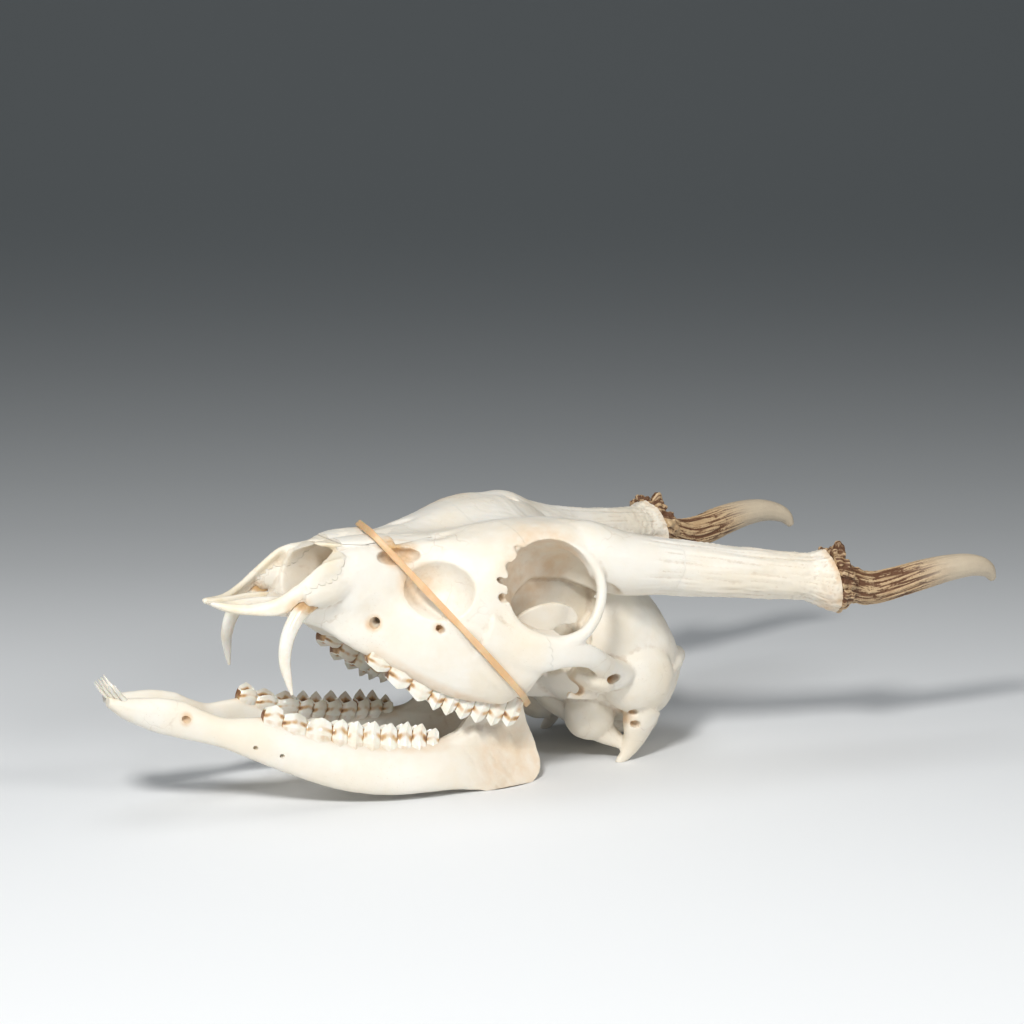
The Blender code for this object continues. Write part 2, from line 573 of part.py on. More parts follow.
def tooth_lobe(length, width, root, neck, cusp):
    """One lobe of a cheek tooth: a column with a high pointed outer cusp and a lower inner one."""
    ring = ((-1, -1), (0, -1.06), (1, -1), (1.04, 0), (1, 1), (0, 1.06), (-1, 1), (-1.04, 0))
    rise = {-1: 0.62, 1: 1.0}
    rows = []
    for height, size in ((root, 0.86), (neck + (cusp - neck) * 0.5, 1.0)):
        rows.append([(a * size * length / 2, b * size * width / 2, height) for a, b in ring])
    top = []
    for a, b in ring:
        on = 0 if abs(b) < 0.5 else (1 if b > 0 else -1)
        peak = abs(a) < 0.5 and on != 0
        high = cusp if (peak and on > 0) else neck + (cusp - neck) * (rise.get(on, 0.5) if peak else 0.66)
        top.append((a * 0.86 * length / 2, b * (0.66 if peak else 0.74) * width / 2, high))
    rows.append(top)
    points, faces = skin_rings([np.array(row) for row in rows])
    faces.pop()
    valley = len(points)
    points = np.vstack((points, [(0, 0, neck + (cusp - neck) * 0.38)]))
    last = 8 * (len(rows) - 1)
    faces += [(last + j, last + (j + 1) % 8, valley) for j in range(8)]
    return points, faces


def tooth_row(lengths, front, back, lobes_of, widths, root, neck, cusp, side=1):
    """The lobes of a whole row from its front and back (along, across) ends, on side 1 or -1."""
    front, back = np.array(front, float), np.array(back, float)
    run = back - front
    full = np.linalg.norm(run)
    run /= full
    scale = full / sum(lengths)
    shapes, done = [], 0.0
    for tooth, length in enumerate(lengths):
        count = lobes_of[tooth]
        for lobe in range(count):
            size = length * scale / count
            middle = front + run * (done + size / 2)
            done += size
            points, faces = tooth_lobe(size * LOBE_OVERLAP, widths[tooth], root(middle[0]), neck(middle[0]),
                                       cusp(middle[0], tooth))
            along = middle[0] + points[:, 0] * run[0] - points[:, 1] * run[1]
            across = middle[1] + points[:, 0] * run[1] + points[:, 1] * run[0]
            shapes.append((np.column_stack((along, across * side, points[:, 2])), faces))
    return shapes


def upper_cusp(x, tooth):
    return -4.1 + 0.0085 * (x + 65) ** 2 - 0.2 * (tooth % 2)


def upper_neck(x):
    return 1.2 + 0.006 * (x + 66) ** 2


def upper_root(x):
    return upper_neck(x) + UPPER_ROOT


def upper_teeth(side):
    return tooth_row(UPPER_TEETH, UPPER_ROW_FRONT, UPPER_ROW_BACK, UPPER_LOBES, UPPER_WIDTHS,
                     upper_root, upper_neck, upper_cusp, side)


def lower_cusp(_, tooth):
    return LOWER_CUSPS[tooth]


def lower_neck(s):
    return -7.6 + 0.0042 * (s + 24) ** 2


def lower_root(s):
    return lower_neck(s) - LOWER_ROOT


def lower_teeth():
    return tooth_row(LOWER_TEETH, LOWER_ROW_FRONT, LOWER_ROW_BACK, LOWER_LOBES, LOWER_WIDTHS,
                     lower_root, lower_neck, lower_cusp)


def fuse_teeth(bone, shapes):
    """Joins each tooth to its bone, roots sunk in."""
    teeth = bpy.data.collections.new("teeth")
    bpy.context.scene.collection.children.link(teeth)
    for shape in shapes:
        tooth = mesh_object("tooth", [shape])
        bpy.context.scene.collection.objects.unlink(tooth)
        teeth.objects.link(tooth)
    join = bone.modifiers.new("teeth", "BOOLEAN")
    join.operation = "UNION"
    join.operand_type = "COLLECTION"
    join.collection = teeth
    join.solver = "EXACT"
    apply_modifiers(bone)
    for tooth in list(teeth.objects):
        remove(tooth)
    bpy.data.collections.remove(teeth)


CANINE_PATH = ((-111.5, 12.4, 17.0), (-116.0, 13.6, 13.0), (-119.6, 14.8, 8.5), (-121.3, 16.4, 1.6),
               (-120.2, 17.4, -4.6), (-117.5, 18.2, -9.2), (-114.8, 18.9, -13.0))
CANINE_RADII = ((1.5, 1.9), (1.7, 2.2), (1.8, 2.4), (1.6, 2.2), (1.3, 1.8), (0.9, 1.2), (0.35, 0.4))


def canine(grown=0.0):
    """The long upper canine, or with a growth the socket that it stands in."""
    path = np.array(CANINE_PATH, float)
    if grown:
        path[0] += (path[0] - path[1]) * 0.06
    return tube(path, [(a + grown, b + grown) for a, b in CANINE_RADII], sides=8, steps=2)


# The lower jaw

def jaw_lean(points):
    """Leans the lower border out, more towards the angle, and turns the ramus in a little."""
    s, v, z = points.T
    slope = np.interp(s, (-90, -60, -20, 12), (0.0, 0.2, 0.36, 0.62))
    return np.column_stack((s, v + slope * np.clip(-5 - z, 0, None) - 0.03 * np.clip(s - 5, 0, None), z))


def jaw_swing(points):
    """The right half is swung out about its chin."""
    s, v, z = points.T
    return np.column_stack((s, v + FAR_JAW_SWING * (s - CHIN), z))


def jaw_shapes():
    body = []
    rows = ((-97.6, 3.0, -7.6, -4.9, 2.0), (-92, 3.6, -10.6, -4.5, 2.7), (-84, 4.6, -12.8, -3.3, 2.8),
            (-76, 5.4, -13.8, -3.5, 2.7), (-70, 6.2, -14.2, -5.2, 2.6), (-64, 7.4, -14.7, -6.4, 2.7),
            (-58, 9.0, -16.0, -5.4, 3.0), (-52, 10.4, -17.4, -4.6, 3.4), (-44, 11.4, -19.2, -6.2, 3.8),
            (-34, 12.5, -21.0, -7.2, 4.2), (-24, 13.6, -21.7, -7.4, 4.4), (-14, 14.7, -20.9, -6.8, 4.6),
            (-4, 15.6, -18.9, -5.2, 4.3), (4, 15.8, -17.4, -3.0, 3.4), (12, 15.4, -16.9, 1.0, 2.5),
            (20, 15.0, -16.4, 2.0, 1.7), (28, 14.8, -12.5, -1.6, 1.1))
    angles = np.arange(18) * math.pi / 9
    for s, v, low, high, half in smooth_rows(rows, 4):
        body.append(np.column_stack((np.full(18, s), v + np.cos(angles) * half,
                                     (low + high) / 2 + np.sin(angles) * (high - low) / 2)))
    outline = smooth_ring(((0, -6), (5.5, -1), (9.0, 8), (11.5, 18), (13.5, 28), (18.5, 34.6), (26, 38.4),
                           (32, 38.8), (36.0, 36.6), (36.4, 33.8), (31.5, 32.4), (27.8, 29.4), (26.6, 25),
                           (30, 23.5), (31, 20), (26.6, 14), (24.6, 8.8), (27.0, 3), (30.8, -2.4),
                           (33.0, -7.4), (31.8, -11.8), (26.8, -15.4), (20, -17.3), (14, -17.0),
                           (8, -16.1), (0, -16.5)), 4)
    plate = [np.column_stack((outline[:, 0], np.full(len(outline), v), outline[:, 1])) for v in (13.9, 16.0)]
    condyle = ball((29.8, 15.4, 22.8), (2.6, 3.3, 2.6))
    return [skin_rings(body), skin_rings(plate), condyle]


def incisors():
    """The four small front teeth of one half, fanned out from the chin."""
    shapes = []
    for i in range(4):
        root = np.array((-94.8 + 1.0 * i, 1.2 + 0.8 * i, -6.4 + 0.2 * i))
        tip = np.array((-101.6 + 1.35 * i, 1.2 + 1.9 * i, -1.6 + 0.3 * i))
        path = [root, root + (tip - root) * 0.5 + (0, 0, -0.5), tip]
        shapes.append(tube(path, ((0.8, 0.9), (0.75, 0.7), (0.95, 0.35)), sides=6, steps=2))
    return shapes


def build_jaw_half(side):
    half = mesh_object("jaw half", jaw_shapes())
    fuse(half, voxel=0.6, smoothing=4)
    thin_out(half, JAW_TRIANGLES)
    fuse_teeth(half, lower_teeth() + incisors())
    keep_largest(half)
    points = jaw_lean(np.array([v.co for v in half.data.vertices]) / MM)
    if side > 0:
        points = jaw_swing(points)
    half.data.vertices.foreach_set("co", (jaw_to_scene(points, side) * MM).ravel())
    if side < 0:
        half.data.flip_normals()
    return half


# Antlers

def burr():
    """The knobbly ring at an antler's foot, square to the end of its pedicle."""
    axis = np.array(BURR_AXIS) / np.linalg.norm(BURR_AXIS)
    side = np.cross(axis, (0, 0, 1))
    side /= np.linalg.norm(side)
    up = np.cross(side, axis)
    knobs = 22
    path, radii = [], []
    for turn in np.arange(knobs) * 2 * math.pi / knobs:
        lump = 0.7 * math.sin(3 * turn + 0.6) + 0.6 * math.sin(7 * turn)
        path.append(BURR_CENTRE + axis * 2.4
                    + (side * math.cos(turn) + up * math.sin(turn)) * (BURR_RADIUS - 2.8 + lump))
        radii.append((2.3 + 0.5 * math.sin(5 * turn), 2.1 + 0.4 * math.sin(8 * turn + 1)))
    return tube(path, radii, across=BURR_AXIS, sides=8, steps=2, closed=True)


def tine(grown=0.0):
    """The short thick brow tine beside the burr, or with a growth the socket that it stands in."""
    foot, axis = np.array(TINE_FOOT), np.array(TINE_AXIS)
    path = [foot + axis * along for along in (-1.5 - grown, 0, TINE_LENGTH * 0.6, TINE_LENGTH + grown)]
    return tube(path, [radius + grown for radius in TINE_RADII], steps=3, sides=10)


def build_antler(side):
    """The beam with its burr, and the brow tine that stands in it."""
    def on_side(shape):
        points, faces = shape
        return points * (1, side, 1), faces

    whole = mesh_object("antler", [on_side(burr()), on_side(tube(ANTLER_PATH, ANTLER_RADII))])
    fuse(whole, voxel=0.6, smoothing=3)
    thin_out(whole, ANTLER_TRIANGLES)
    for cut in (block(BURR_CENTRE, BURR_AXIS, -30, 0.5 + GAP, 16), tine(grown=GAP)):
        combine(whole, mesh_object("cut", [on_side(cut)]), "DIFFERENCE")
    return whole, mesh_object("tine", [on_side(tine())])


# The rubber band

def band_points(objects, across, middle):
    """Where the objects' edges cross a plane."""
    found = []
    for obj in objects:
        points = np.array([v.co for v in obj.data.vertices]) / MM
        ends = np.array([edge.vertices[:] for edge in obj.data.edges])
        height = (points - middle) @ across
        first, second = height[ends[:, 0]], height[ends[:, 1]]
        crossing = (first > 0) != (second > 0)
        share = (first / (first - second + (first == second)))[crossing][:, None]
        ends = ends[crossing]
        found.append(points[ends[:, 0]] * (1 - share) + points[ends[:, 1]] * share)
    return np.vstack(found)


def convex_outline(flat):
    """The outermost of some flat points, in order round them."""
    flat = flat[np.lexsort((flat[:, 1], flat[:, 0]))]
    halves = []
    for ordered in (flat, flat[::-1]):
        chain = []
        for point in ordered:
            while len(chain) > 1:
                a, b = chain[-1] - chain[-2], point - chain[-1]
                if a[0] * b[1] - a[1] * b[0] > 0:
                    break
                chain.pop()
            chain.append(point)
        halves += chain[:-1]
    return np.array(halves)


def build_band(objects):
    """A flat band pulled tight round everything that its plane crosses."""
    top, cheek, jaw = (np.array(point) - (CENTRE[0], CENTRE[1], 0) for point in
                       (BAND_OVER_SNOUT, BAND_BESIDE_CHEEK, BAND_BEHIND_JAW))
    across = np.cross(cheek - top, jaw - top)
    across /= np.linalg.norm(across)
    down = (jaw - top) / np.linalg.norm(jaw - top)
    sideways = np.cross(across, down)
    crossed = [band_points(objects, across, top + across * BAND_WIDTH * share) for share in BAND_SECTIONS]
    found = np.vstack(crossed)
    flat = np.column_stack(((found - top) @ down, (found - top) @ sideways))
    flat = flat[flat[:, 0] < np.linalg.norm(jaw - top) + BAND_REACH]
    hull = convex_outline(flat)
    reach = BAND_CLEARANCE + BAND_THICKNESS / 2
    turns = np.arange(12) * math.pi / 6
    wide = convex_outline(np.vstack([hull + (math.cos(t) * reach, math.sin(t) * reach) for t in turns]))
    steps = np.linalg.norm(np.roll(wide, -1, 0) - wide, axis=1)
    along = np.concatenate(((0,), np.cumsum(steps)))
    looped = np.vstack((wide, wide[:1]))
    places = np.linspace(0, along[-1], BAND_STEPS + 1)[:-1]
    path = np.column_stack((np.interp(places, along, looped[:, 0]), np.interp(places, along, looped[:, 1])))
    path = top + np.outer(path[:, 0], down) + np.outer(path[:, 1], sideways)
    radii = ((BAND_WIDTH / 2, BAND_THICKNESS / 2),) * len(path)
    return mesh_object("band", [tube(path, radii, across=across, sides=6, steps=1, closed=True)])


def main():
    clear_scene()
    bone = material("bleached bone", BONE, 0.5)
    old_bone = material("yellowed bone", OLD_BONE, 0.5)
    enamel = material("enamel", ENAMEL, 0.3)
    horn = material("antler", ANTLER_BROWN, 0.7)
    rubber = material("rubber", RUBBER_TAN, 0.6)
    bones = split_bones(build_cranium())
    for side, word in ((-1, "left"), (1, "right")):
        fuse_teeth(bones["face"], upper_teeth(side))
        bones["antler_" + word], bones["brow_tine_" + word] = build_antler(side)
        bones["canine_" + word] = mesh_object("canine", [(points * (1, side, 1), faces)
                                                          for points, faces in [canine()]])
    for obj in bones.values():
        points = np.array([v.co for v in obj.data.vertices]) / MM
        obj.data.vertices.foreach_set("co", (skull_to_scene(points) * MM).ravel())
    for side, word in ((-1, "left"), (1, "right")):
        bones["mandible_" + word] = build_jaw_half(side)
    floor = block((0, 0, 0), (0, 0, 1), -30, 0, 300)
    for name in ("braincase", "mandible_left", "mandible_right"):
        combine(bones[name], mesh_object("floor", [floor]), "DIFFERENCE")
        keep_largest(bones[name])
    bones["rubber_band"] = build_band([bones[name] for name in (
        "face", "braincase", "nasal_left", "nasal_right", "mandible_left", "mandible_right")])
    made_of = {"premaxilla": old_bone, "canine": enamel, "antler": horn, "brow_tine": horn,
               "rubber_band": rubber}
    for name, obj in bones.items():
        kind = name.replace("_left", "").replace("_right", "")
        finish(obj, name, made_of.get(kind, bone))


main()
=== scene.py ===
import math

import bmesh
import bpy
import numpy as np
from mathutils import Matrix, Vector


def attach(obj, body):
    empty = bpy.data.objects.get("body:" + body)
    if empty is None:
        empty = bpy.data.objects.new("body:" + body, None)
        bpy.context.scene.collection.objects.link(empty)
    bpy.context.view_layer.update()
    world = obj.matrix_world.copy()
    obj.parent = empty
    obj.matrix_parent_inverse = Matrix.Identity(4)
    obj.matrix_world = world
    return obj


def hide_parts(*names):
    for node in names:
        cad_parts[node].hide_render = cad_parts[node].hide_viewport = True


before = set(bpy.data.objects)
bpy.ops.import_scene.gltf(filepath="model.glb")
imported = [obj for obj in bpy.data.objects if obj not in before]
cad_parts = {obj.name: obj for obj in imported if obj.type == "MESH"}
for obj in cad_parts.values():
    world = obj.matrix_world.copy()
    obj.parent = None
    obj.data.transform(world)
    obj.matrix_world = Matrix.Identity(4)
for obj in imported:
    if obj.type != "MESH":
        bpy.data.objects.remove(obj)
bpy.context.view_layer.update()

mm = 0.001

# How the skull and its jaw lie. Skull frame: x back from the snout, y to its right, z up from the
# upper teeth. Jaw frame: s back from the last molar, v outwards, z up from the cusps. Millimetres.
pose = {
    "skullPitch": 24.8,
    "jawPitch": 12.3,
    "jawYaw": 7.4,
    "jawOrigin": (-57.1, -0.75, 19.5),
    "farJawSlide": 1.0,
    "farJawSwing": 3.0,
    "chin": -95.0,
    "centre": (-21.92, -1.69),
}


# curves, lofts and lumps: each shape is a pair of points and faces

def smoothRows(rows, steps):
    rows = np.array(rows, float)
    padded = np.vstack((2 * rows[0] - rows[1], rows, 2 * rows[-1] - rows[-2]))
    made = []
    for i in range(len(rows) - 1):
        a, b, c, d = padded[i:i + 4]
        for k in range(steps):
            t = k / steps
            made.append(0.5 * (2 * b + (c - a) * t + (2 * a - 5 * b + 4 * c - d) * t * t
                               + (3 * b - a - 3 * c + d) * t ** 3))
    made.append(rows[-1])
    return np.array(made)


def smoothRing(rows, steps):
    rows = np.array(rows, float)
    looped = np.vstack((rows[-1:], rows, rows[:2]))
    made = []
    for i in range(len(rows)):
        a, b, c, d = looped[i:i + 4]
        for k in range(steps):
            t = k / steps
            made.append(0.5 * (2 * b + (c - a) * t + (2 * a - 5 * b + 4 * c - d) * t * t
                               + (3 * b - a - 3 * c + d) * t ** 3))
    return np.array(made)


def skinRings(rings, closed=False):
    count, sides = len(rings), len(rings[0])
    faces = []
    for i in range(count if closed else count - 1):
        a, b = i * sides, ((i + 1) % count) * sides
        faces += [(a + j, a + (j + 1) % sides, b + (j + 1) % sides, b + j) for j in range(sides)]
    if not closed:
        faces.append(tuple(range(sides))[::-1])
        faces.append(tuple((count - 1) * sides + j for j in range(sides)))
    return np.vstack(rings), faces


def tube(path, radii, across=(0, 1, 0), sides=24, steps=8, closed=False):
    # radii are one number each, or one across and one the other way
    pairs = [(r, r) if np.isscalar(r) else tuple(r) for r in radii]
    rows = [tuple(p) + r for p, r in zip(path, pairs)]
    rows = smoothRing(rows, steps) if closed else smoothRows(rows, steps)
    points = rows[:, :3]
    tangents = np.roll(points, -1, 0) - np.roll(points, 1, 0) if closed else np.gradient(points, axis=0)
    tangents /= np.linalg.norm(tangents, axis=1)[:, None]
    angles = np.arange(sides) * 2 * math.pi / sides
    rings = []
    for row, forward in zip(rows, tangents):
        side = np.array(across, float)
        side = side - forward * side.dot(forward)
        side /= np.linalg.norm(side)
        up = np.cross(side, forward)
        rings.append(row[:3] + np.outer(np.cos(angles) * row[3], side)
                     + np.outer(np.sin(angles) * row[4], up))
    return skinRings(rings, closed)


def curvedPlate(rows, thickness, steps=6, across=5):
    # a thin bent sheet of bone through rows of points, which run the same way in each row
    rows = np.array(rows, float)
    fine = np.array([smoothRows(rows[:, j], steps) for j in range(rows.shape[1])]).transpose(1, 0, 2)
    fine = np.array([smoothRows(row, across) for row in fine])
    thick = smoothRows([(t,) for t in thickness], steps)[:, 0] if np.ndim(thickness) else np.full(len(fine), thickness)
    along, over = np.gradient(fine, axis=0), np.gradient(fine, axis=1)
    out = np.cross(along, over)
    out /= np.linalg.norm(out, axis=2)[:, :, None]
    push = out * thick[:, None, None] / 2
    return skinRings([np.vstack((a, b[::-1])) for a, b in zip(fine + push, fine - push)])


def ball(centre, radii, turn=0.0, sides=32):
    # an ellipsoid, turned about the y axis by so many degrees
    heights = np.linspace(-math.pi / 2, math.pi / 2, sides // 2 + 2)[1:-1]
    angles = np.arange(sides) * 2 * math.pi / sides
    rings = [np.column_stack((math.cos(h) * np.cos(angles) * radii[0],
                              math.cos(h) * np.sin(angles) * radii[1],
                              np.full(sides, math.sin(h) * radii[2]))) for h in heights]
    points, faces = skinRings(rings)
    t = math.radians(turn)
    x = points[:, 0] * math.cos(t) + points[:, 2] * math.sin(t)
    z = -points[:, 0] * math.sin(t) + points[:, 2] * math.cos(t)
    return np.column_stack((x, points[:, 1], z)) + np.array(centre, float), faces


def halfProfileLoft(rows, steps=6, ringSteps=8):
    # each row is x, the top z on the middle plane, four (y, z) down the side, and the floor z
    rings = []
    for row in smoothRows(rows, steps):
        x, top, *sides, floor = row
        right = [(0.0, top)] + [(sides[i], sides[i + 1]) for i in range(0, len(sides), 2)]
        left = [(-y, z) for y, z in right[:0:-1]]
        ring = smoothRing(right + [(0.0, floor)] + left, ringSteps)
        rings.append(np.column_stack((np.full(len(ring), x), ring)))
    return skinRings(rings)


def ovalLoft(rows, power=2.4, sides=48, steps=8):
    # each row is x, half width, lowest z and highest z
    angles = np.arange(sides) * 2 * math.pi / sides
    rings = []
    for x, half, low, high in smoothRows(rows, steps):
        y = np.sign(np.cos(angles)) * np.abs(np.cos(angles)) ** (2 / power) * half
        z = np.sign(np.sin(angles)) * np.abs(np.sin(angles)) ** (2 / power) * (high - low) / 2
        rings.append(np.column_stack((np.full(sides, x), y, z + (high + low) / 2)))
    return skinRings(rings)


def slab(outline, low, high):
    outline = np.array(outline, float)
    return skinRings([np.column_stack((outline[:, 0], np.full(len(outline), y), outline[:, 1]))
                      for y in (low, high)])


def block(centre, axis, near, far, half):
    # a square bar along an axis through a point
    axis = np.array(axis, float) / np.linalg.norm(axis)
    side = np.cross(axis, (0, 1, 0))
    side /= np.linalg.norm(side)
    up = np.cross(side, axis)
    corners = ((-1, -1), (1, -1), (1, 1), (-1, 1))
    return skinRings([np.array([centre + axis * t + (side * a + up * b) * half for a, b in corners])
                      for t in (near, far)])


def mirrored(shapes):
    return shapes + [(points * (1, -1, 1), faces) for points, faces in shapes]


def uneven(points):
    # the right pedicle and antler lie a little lower and further back than the left
    share = np.clip((points[:, 0] + 44) / 40, 0, 1) * np.clip((points[:, 1] - 12) / 12, 0, 1)
    share *= np.clip((points[:, 2] - 44) / 10, 0, 1)
    share = share * share * (3 - 2 * share)
    reach = np.clip((points[:, 0] - 33) / 47, 0, 1)
    return points + share[:, None] * (np.array(cranium["rightPedicleShift"])
                                      + np.outer(reach, cranium["rightTipShift"]))


# from the skull's and the jaw's own frames to the scene

def skullToScene(points):
    c, s = math.cos(math.radians(pose["skullPitch"])), math.sin(math.radians(pose["skullPitch"]))
    x, y, z = uneven(np.array(points, float)).T
    return np.column_stack((x * c + z * s - pose["centre"][0], y - pose["centre"][1], z * c - x * s))


def jawToScene(points, side):
    s, v, z = np.array(points, float).T
    s = s + (pose["farJawSlide"] if side > 0 else 0.0)
    yaw, pitch = math.radians(pose["jawYaw"]), math.radians(pose["jawPitch"])
    back = np.array((math.cos(yaw) * math.cos(pitch), -math.sin(yaw) * math.cos(pitch), -math.sin(pitch)))
    out = np.array((math.sin(yaw), math.cos(yaw), 0.0))
    up = np.cross(back, out)
    placed = np.outer(s, back) + np.outer(v * side, out) + np.outer(z, up) + np.array(pose["jawOrigin"])
    return placed - np.array((*pose["centre"], 0.0))


# meshes: the work is done in millimetres, and settle() brings a piece to metres in the scene

def meshObject(name, shapes):
    points, faces, count = [], [], 0
    for shapePoints, shapeFaces in shapes:
        points.append(shapePoints)
        faces += [tuple(count + i for i in face) for face in shapeFaces]
        count += len(shapePoints)
    mesh = bpy.data.meshes.new(name)
    mesh.from_pydata(np.vstack(points).tolist(), [], faces)
    turned = bmesh.new()
    turned.from_mesh(mesh)
    bmesh.ops.recalc_face_normals(turned, faces=turned.faces)
    turned.to_mesh(mesh)
    turned.free()
    piece = bpy.data.objects.new(name, mesh)
    bpy.context.scene.collection.objects.link(piece)
    return piece


def applyModifiers(piece):
    graph = bpy.context.evaluated_depsgraph_get()
    mesh = bpy.data.meshes.new_from_object(piece.evaluated_get(graph))
    piece.modifiers.clear()
    piece.data = mesh


def fuse(piece, voxel, smoothing):
    remesh = piece.modifiers.new("fuse", "REMESH")
    remesh.mode = "VOXEL"
    remesh.voxel_size = voxel
    if smoothing:
        soften = piece.modifiers.new("soften", "SMOOTH")
        soften.factor = 0.5
        soften.iterations = smoothing
    applyModifiers(piece)


def combine(piece, other, operation):
    change = piece.modifiers.new("change", "BOOLEAN")
    change.operation = operation
    change.object = other
    change.solver = "MANIFOLD"
    applyModifiers(piece)
    bpy.data.objects.remove(other, do_unlink=True)


def pointsOf(piece):
    flat = np.empty(len(piece.data.vertices) * 3)
    piece.data.vertices.foreach_get("co", flat)
    return flat.reshape(-1, 3)


def normalsOf(piece):
    flat = np.empty(len(piece.data.vertices) * 3)
    piece.data.vertices.foreach_get("normal", flat)
    return flat.reshape(-1, 3)


def setPoints(piece, points):
    piece.data.vertices.foreach_set("co", np.asarray(points, np.float64).ravel())
    piece.data.update()


def loosePieces(piece):
    bpy.ops.object.select_all(action="DESELECT")
    piece.select_set(True)
    bpy.context.view_layer.objects.active = piece
    bpy.ops.mesh.separate(type="LOOSE")
    return sorted(bpy.context.selected_objects, key=lambda found: -len(found.data.vertices))


def largestOf(piece):
    found = loosePieces(piece)
    for extra in found[1:]:
        bpy.data.objects.remove(extra, do_unlink=True)
    return found[0]


def paint(piece, name, values):
    # a value from 0 to 1 on each point, which the material reads as an attribute
    layer = piece.data.attributes.get(name) or piece.data.attributes.new(name, "FLOAT", "POINT")
    layer.data.foreach_set("value", np.clip(values, 0, 1).astype(np.float32))


def hollows(piece, passes=(2, 14)):
    # how deep each point lies below its surroundings: more than 0 in a crease, less on a ridge
    count = len(piece.data.vertices)
    ends = np.empty(len(piece.data.edges) * 2, np.int32)
    piece.data.edges.foreach_get("vertices", ends)
    ends = ends.reshape(-1, 2)
    both = np.concatenate((ends[:, 0], ends[:, 1]))
    others = np.concatenate((ends[:, 1], ends[:, 0]))
    degree = np.maximum(np.bincount(both, minlength=count), 1)
    points, normals = pointsOf(piece), normalsOf(piece)
    spread, found = points.copy(), []
    for turn in range(max(passes)):
        spread = np.column_stack([np.bincount(both, weights=spread[others, k], minlength=count)
                                  for k in range(3)]) / degree[:, None]
        if turn + 1 in passes:
            found.append(((spread - points) * normals).sum(axis=1))
    return found


def softNoise(points, size, seed=0):
    # smooth unrepeating values from -1 to 1, with about one hill to each size
    grid = np.asarray(points, float) / np.array(size) + 211.5
    low = np.floor(grid).astype(np.int64)
    part = grid - low
    part = part * part * (3 - 2 * part)
    total = np.zeros(len(grid))
    for corner in range(8):
        step = np.array((corner & 1, corner >> 1 & 1, corner >> 2 & 1))
        cell = low + step
        mixed = (cell[:, 0] * 73856093) ^ (cell[:, 1] * 19349663) ^ (cell[:, 2] * 83492791) ^ (seed * 97561 + 7)
        mixed = ((mixed ^ (mixed >> 13)) * 1274126177) & 0x7fffffff
        mixed = mixed ^ (mixed >> 15)
        value = (mixed & 0xffff) / 32767.5 - 1
        total += value * np.prod(np.where(step, part, 1 - part), axis=1)
    return total


def layered(points, size, seed=0, octaves=3):
    total = np.zeros(len(points))
    for k in range(octaves):
        total += softNoise(points, np.array(size) / 2 ** k, seed + k) / 2 ** k
    return total


def fade(distance, near, far):
    # 1 up to near, falling smoothly to 0 at far
    t = np.clip((np.asarray(distance) - near) / (far - near), 0, 1)
    return 1 - t * t * (3 - 2 * t)


def awayFromLine(points, line):
    # each point's distance from a polyline
    line = np.array(line, float)
    best = np.full(len(points), 1e9)
    for a, b in zip(line[:-1], line[1:]):
        run = b - a
        t = np.clip((points - a) @ run / run.dot(run), 0, 1)
        best = np.minimum(best, np.linalg.norm(points - a - t[:, None] * run, axis=1))
    return best


def bothSides(points):
    return np.column_stack((points[:, 0], np.abs(points[:, 1]), points[:, 2]))


def settle(piece, name, material, placed):
    # gives a finished piece its name, its place in the scene and its material
    piece.name = name
    piece.data.name = name
    points = placed(pointsOf(piece)) * mm
    points[:, 2] = np.maximum(points[:, 2], 0)
    setPoints(piece, points)
    piece.data.materials.clear()
    piece.data.materials.append(material)
    piece.data.shade_smooth()
    piece.data.set_sharp_from_angle(angle=math.radians(38))
    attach(piece, "root")
    return piece


# the cranium

cranium = {
    "voxel": 0.5,
    "openingVoxel": 0.5,
    "softening": 4,
    "sutureWidth": 0.12,
    "sutureZigzag": 0.35,
    "undulation": 0.16,
    "rightPedicleShift": (-3.4, 0.0, -3.2),
    "rightTipShift": (4.2, -8.0, 0.0),
    "relief": (((-88, 18.5, 26), (11, 8, 8), -1.3), ((-97, 16.5, 15), (6, 6, 7), -1.0),
               ((-104, 13, 11), (8, 6, 7), -0.9), ((-60, 32, 15), (9, 6, 6), -0.6), ((-12, 27, 36), (14, 8, 9), -0.9),
               ((-83, 11, 44), (7, 3, 5), -0.8), ((-72, 27, 21), (12, 6, 3), 0.5), ((2, 22, 24), (7, 6, 8), -0.9),
               ((-112, 13.5, 17), (5, 4, 4), 0.4), ((-33, 24, 57), (9, 4, 4), -0.5)),
    "orbit": (-54.5, 34.0, 41.0),
    "orbitRadius": 13.6,
    "facePit": (-85.5, 26.5, 29.5),
}


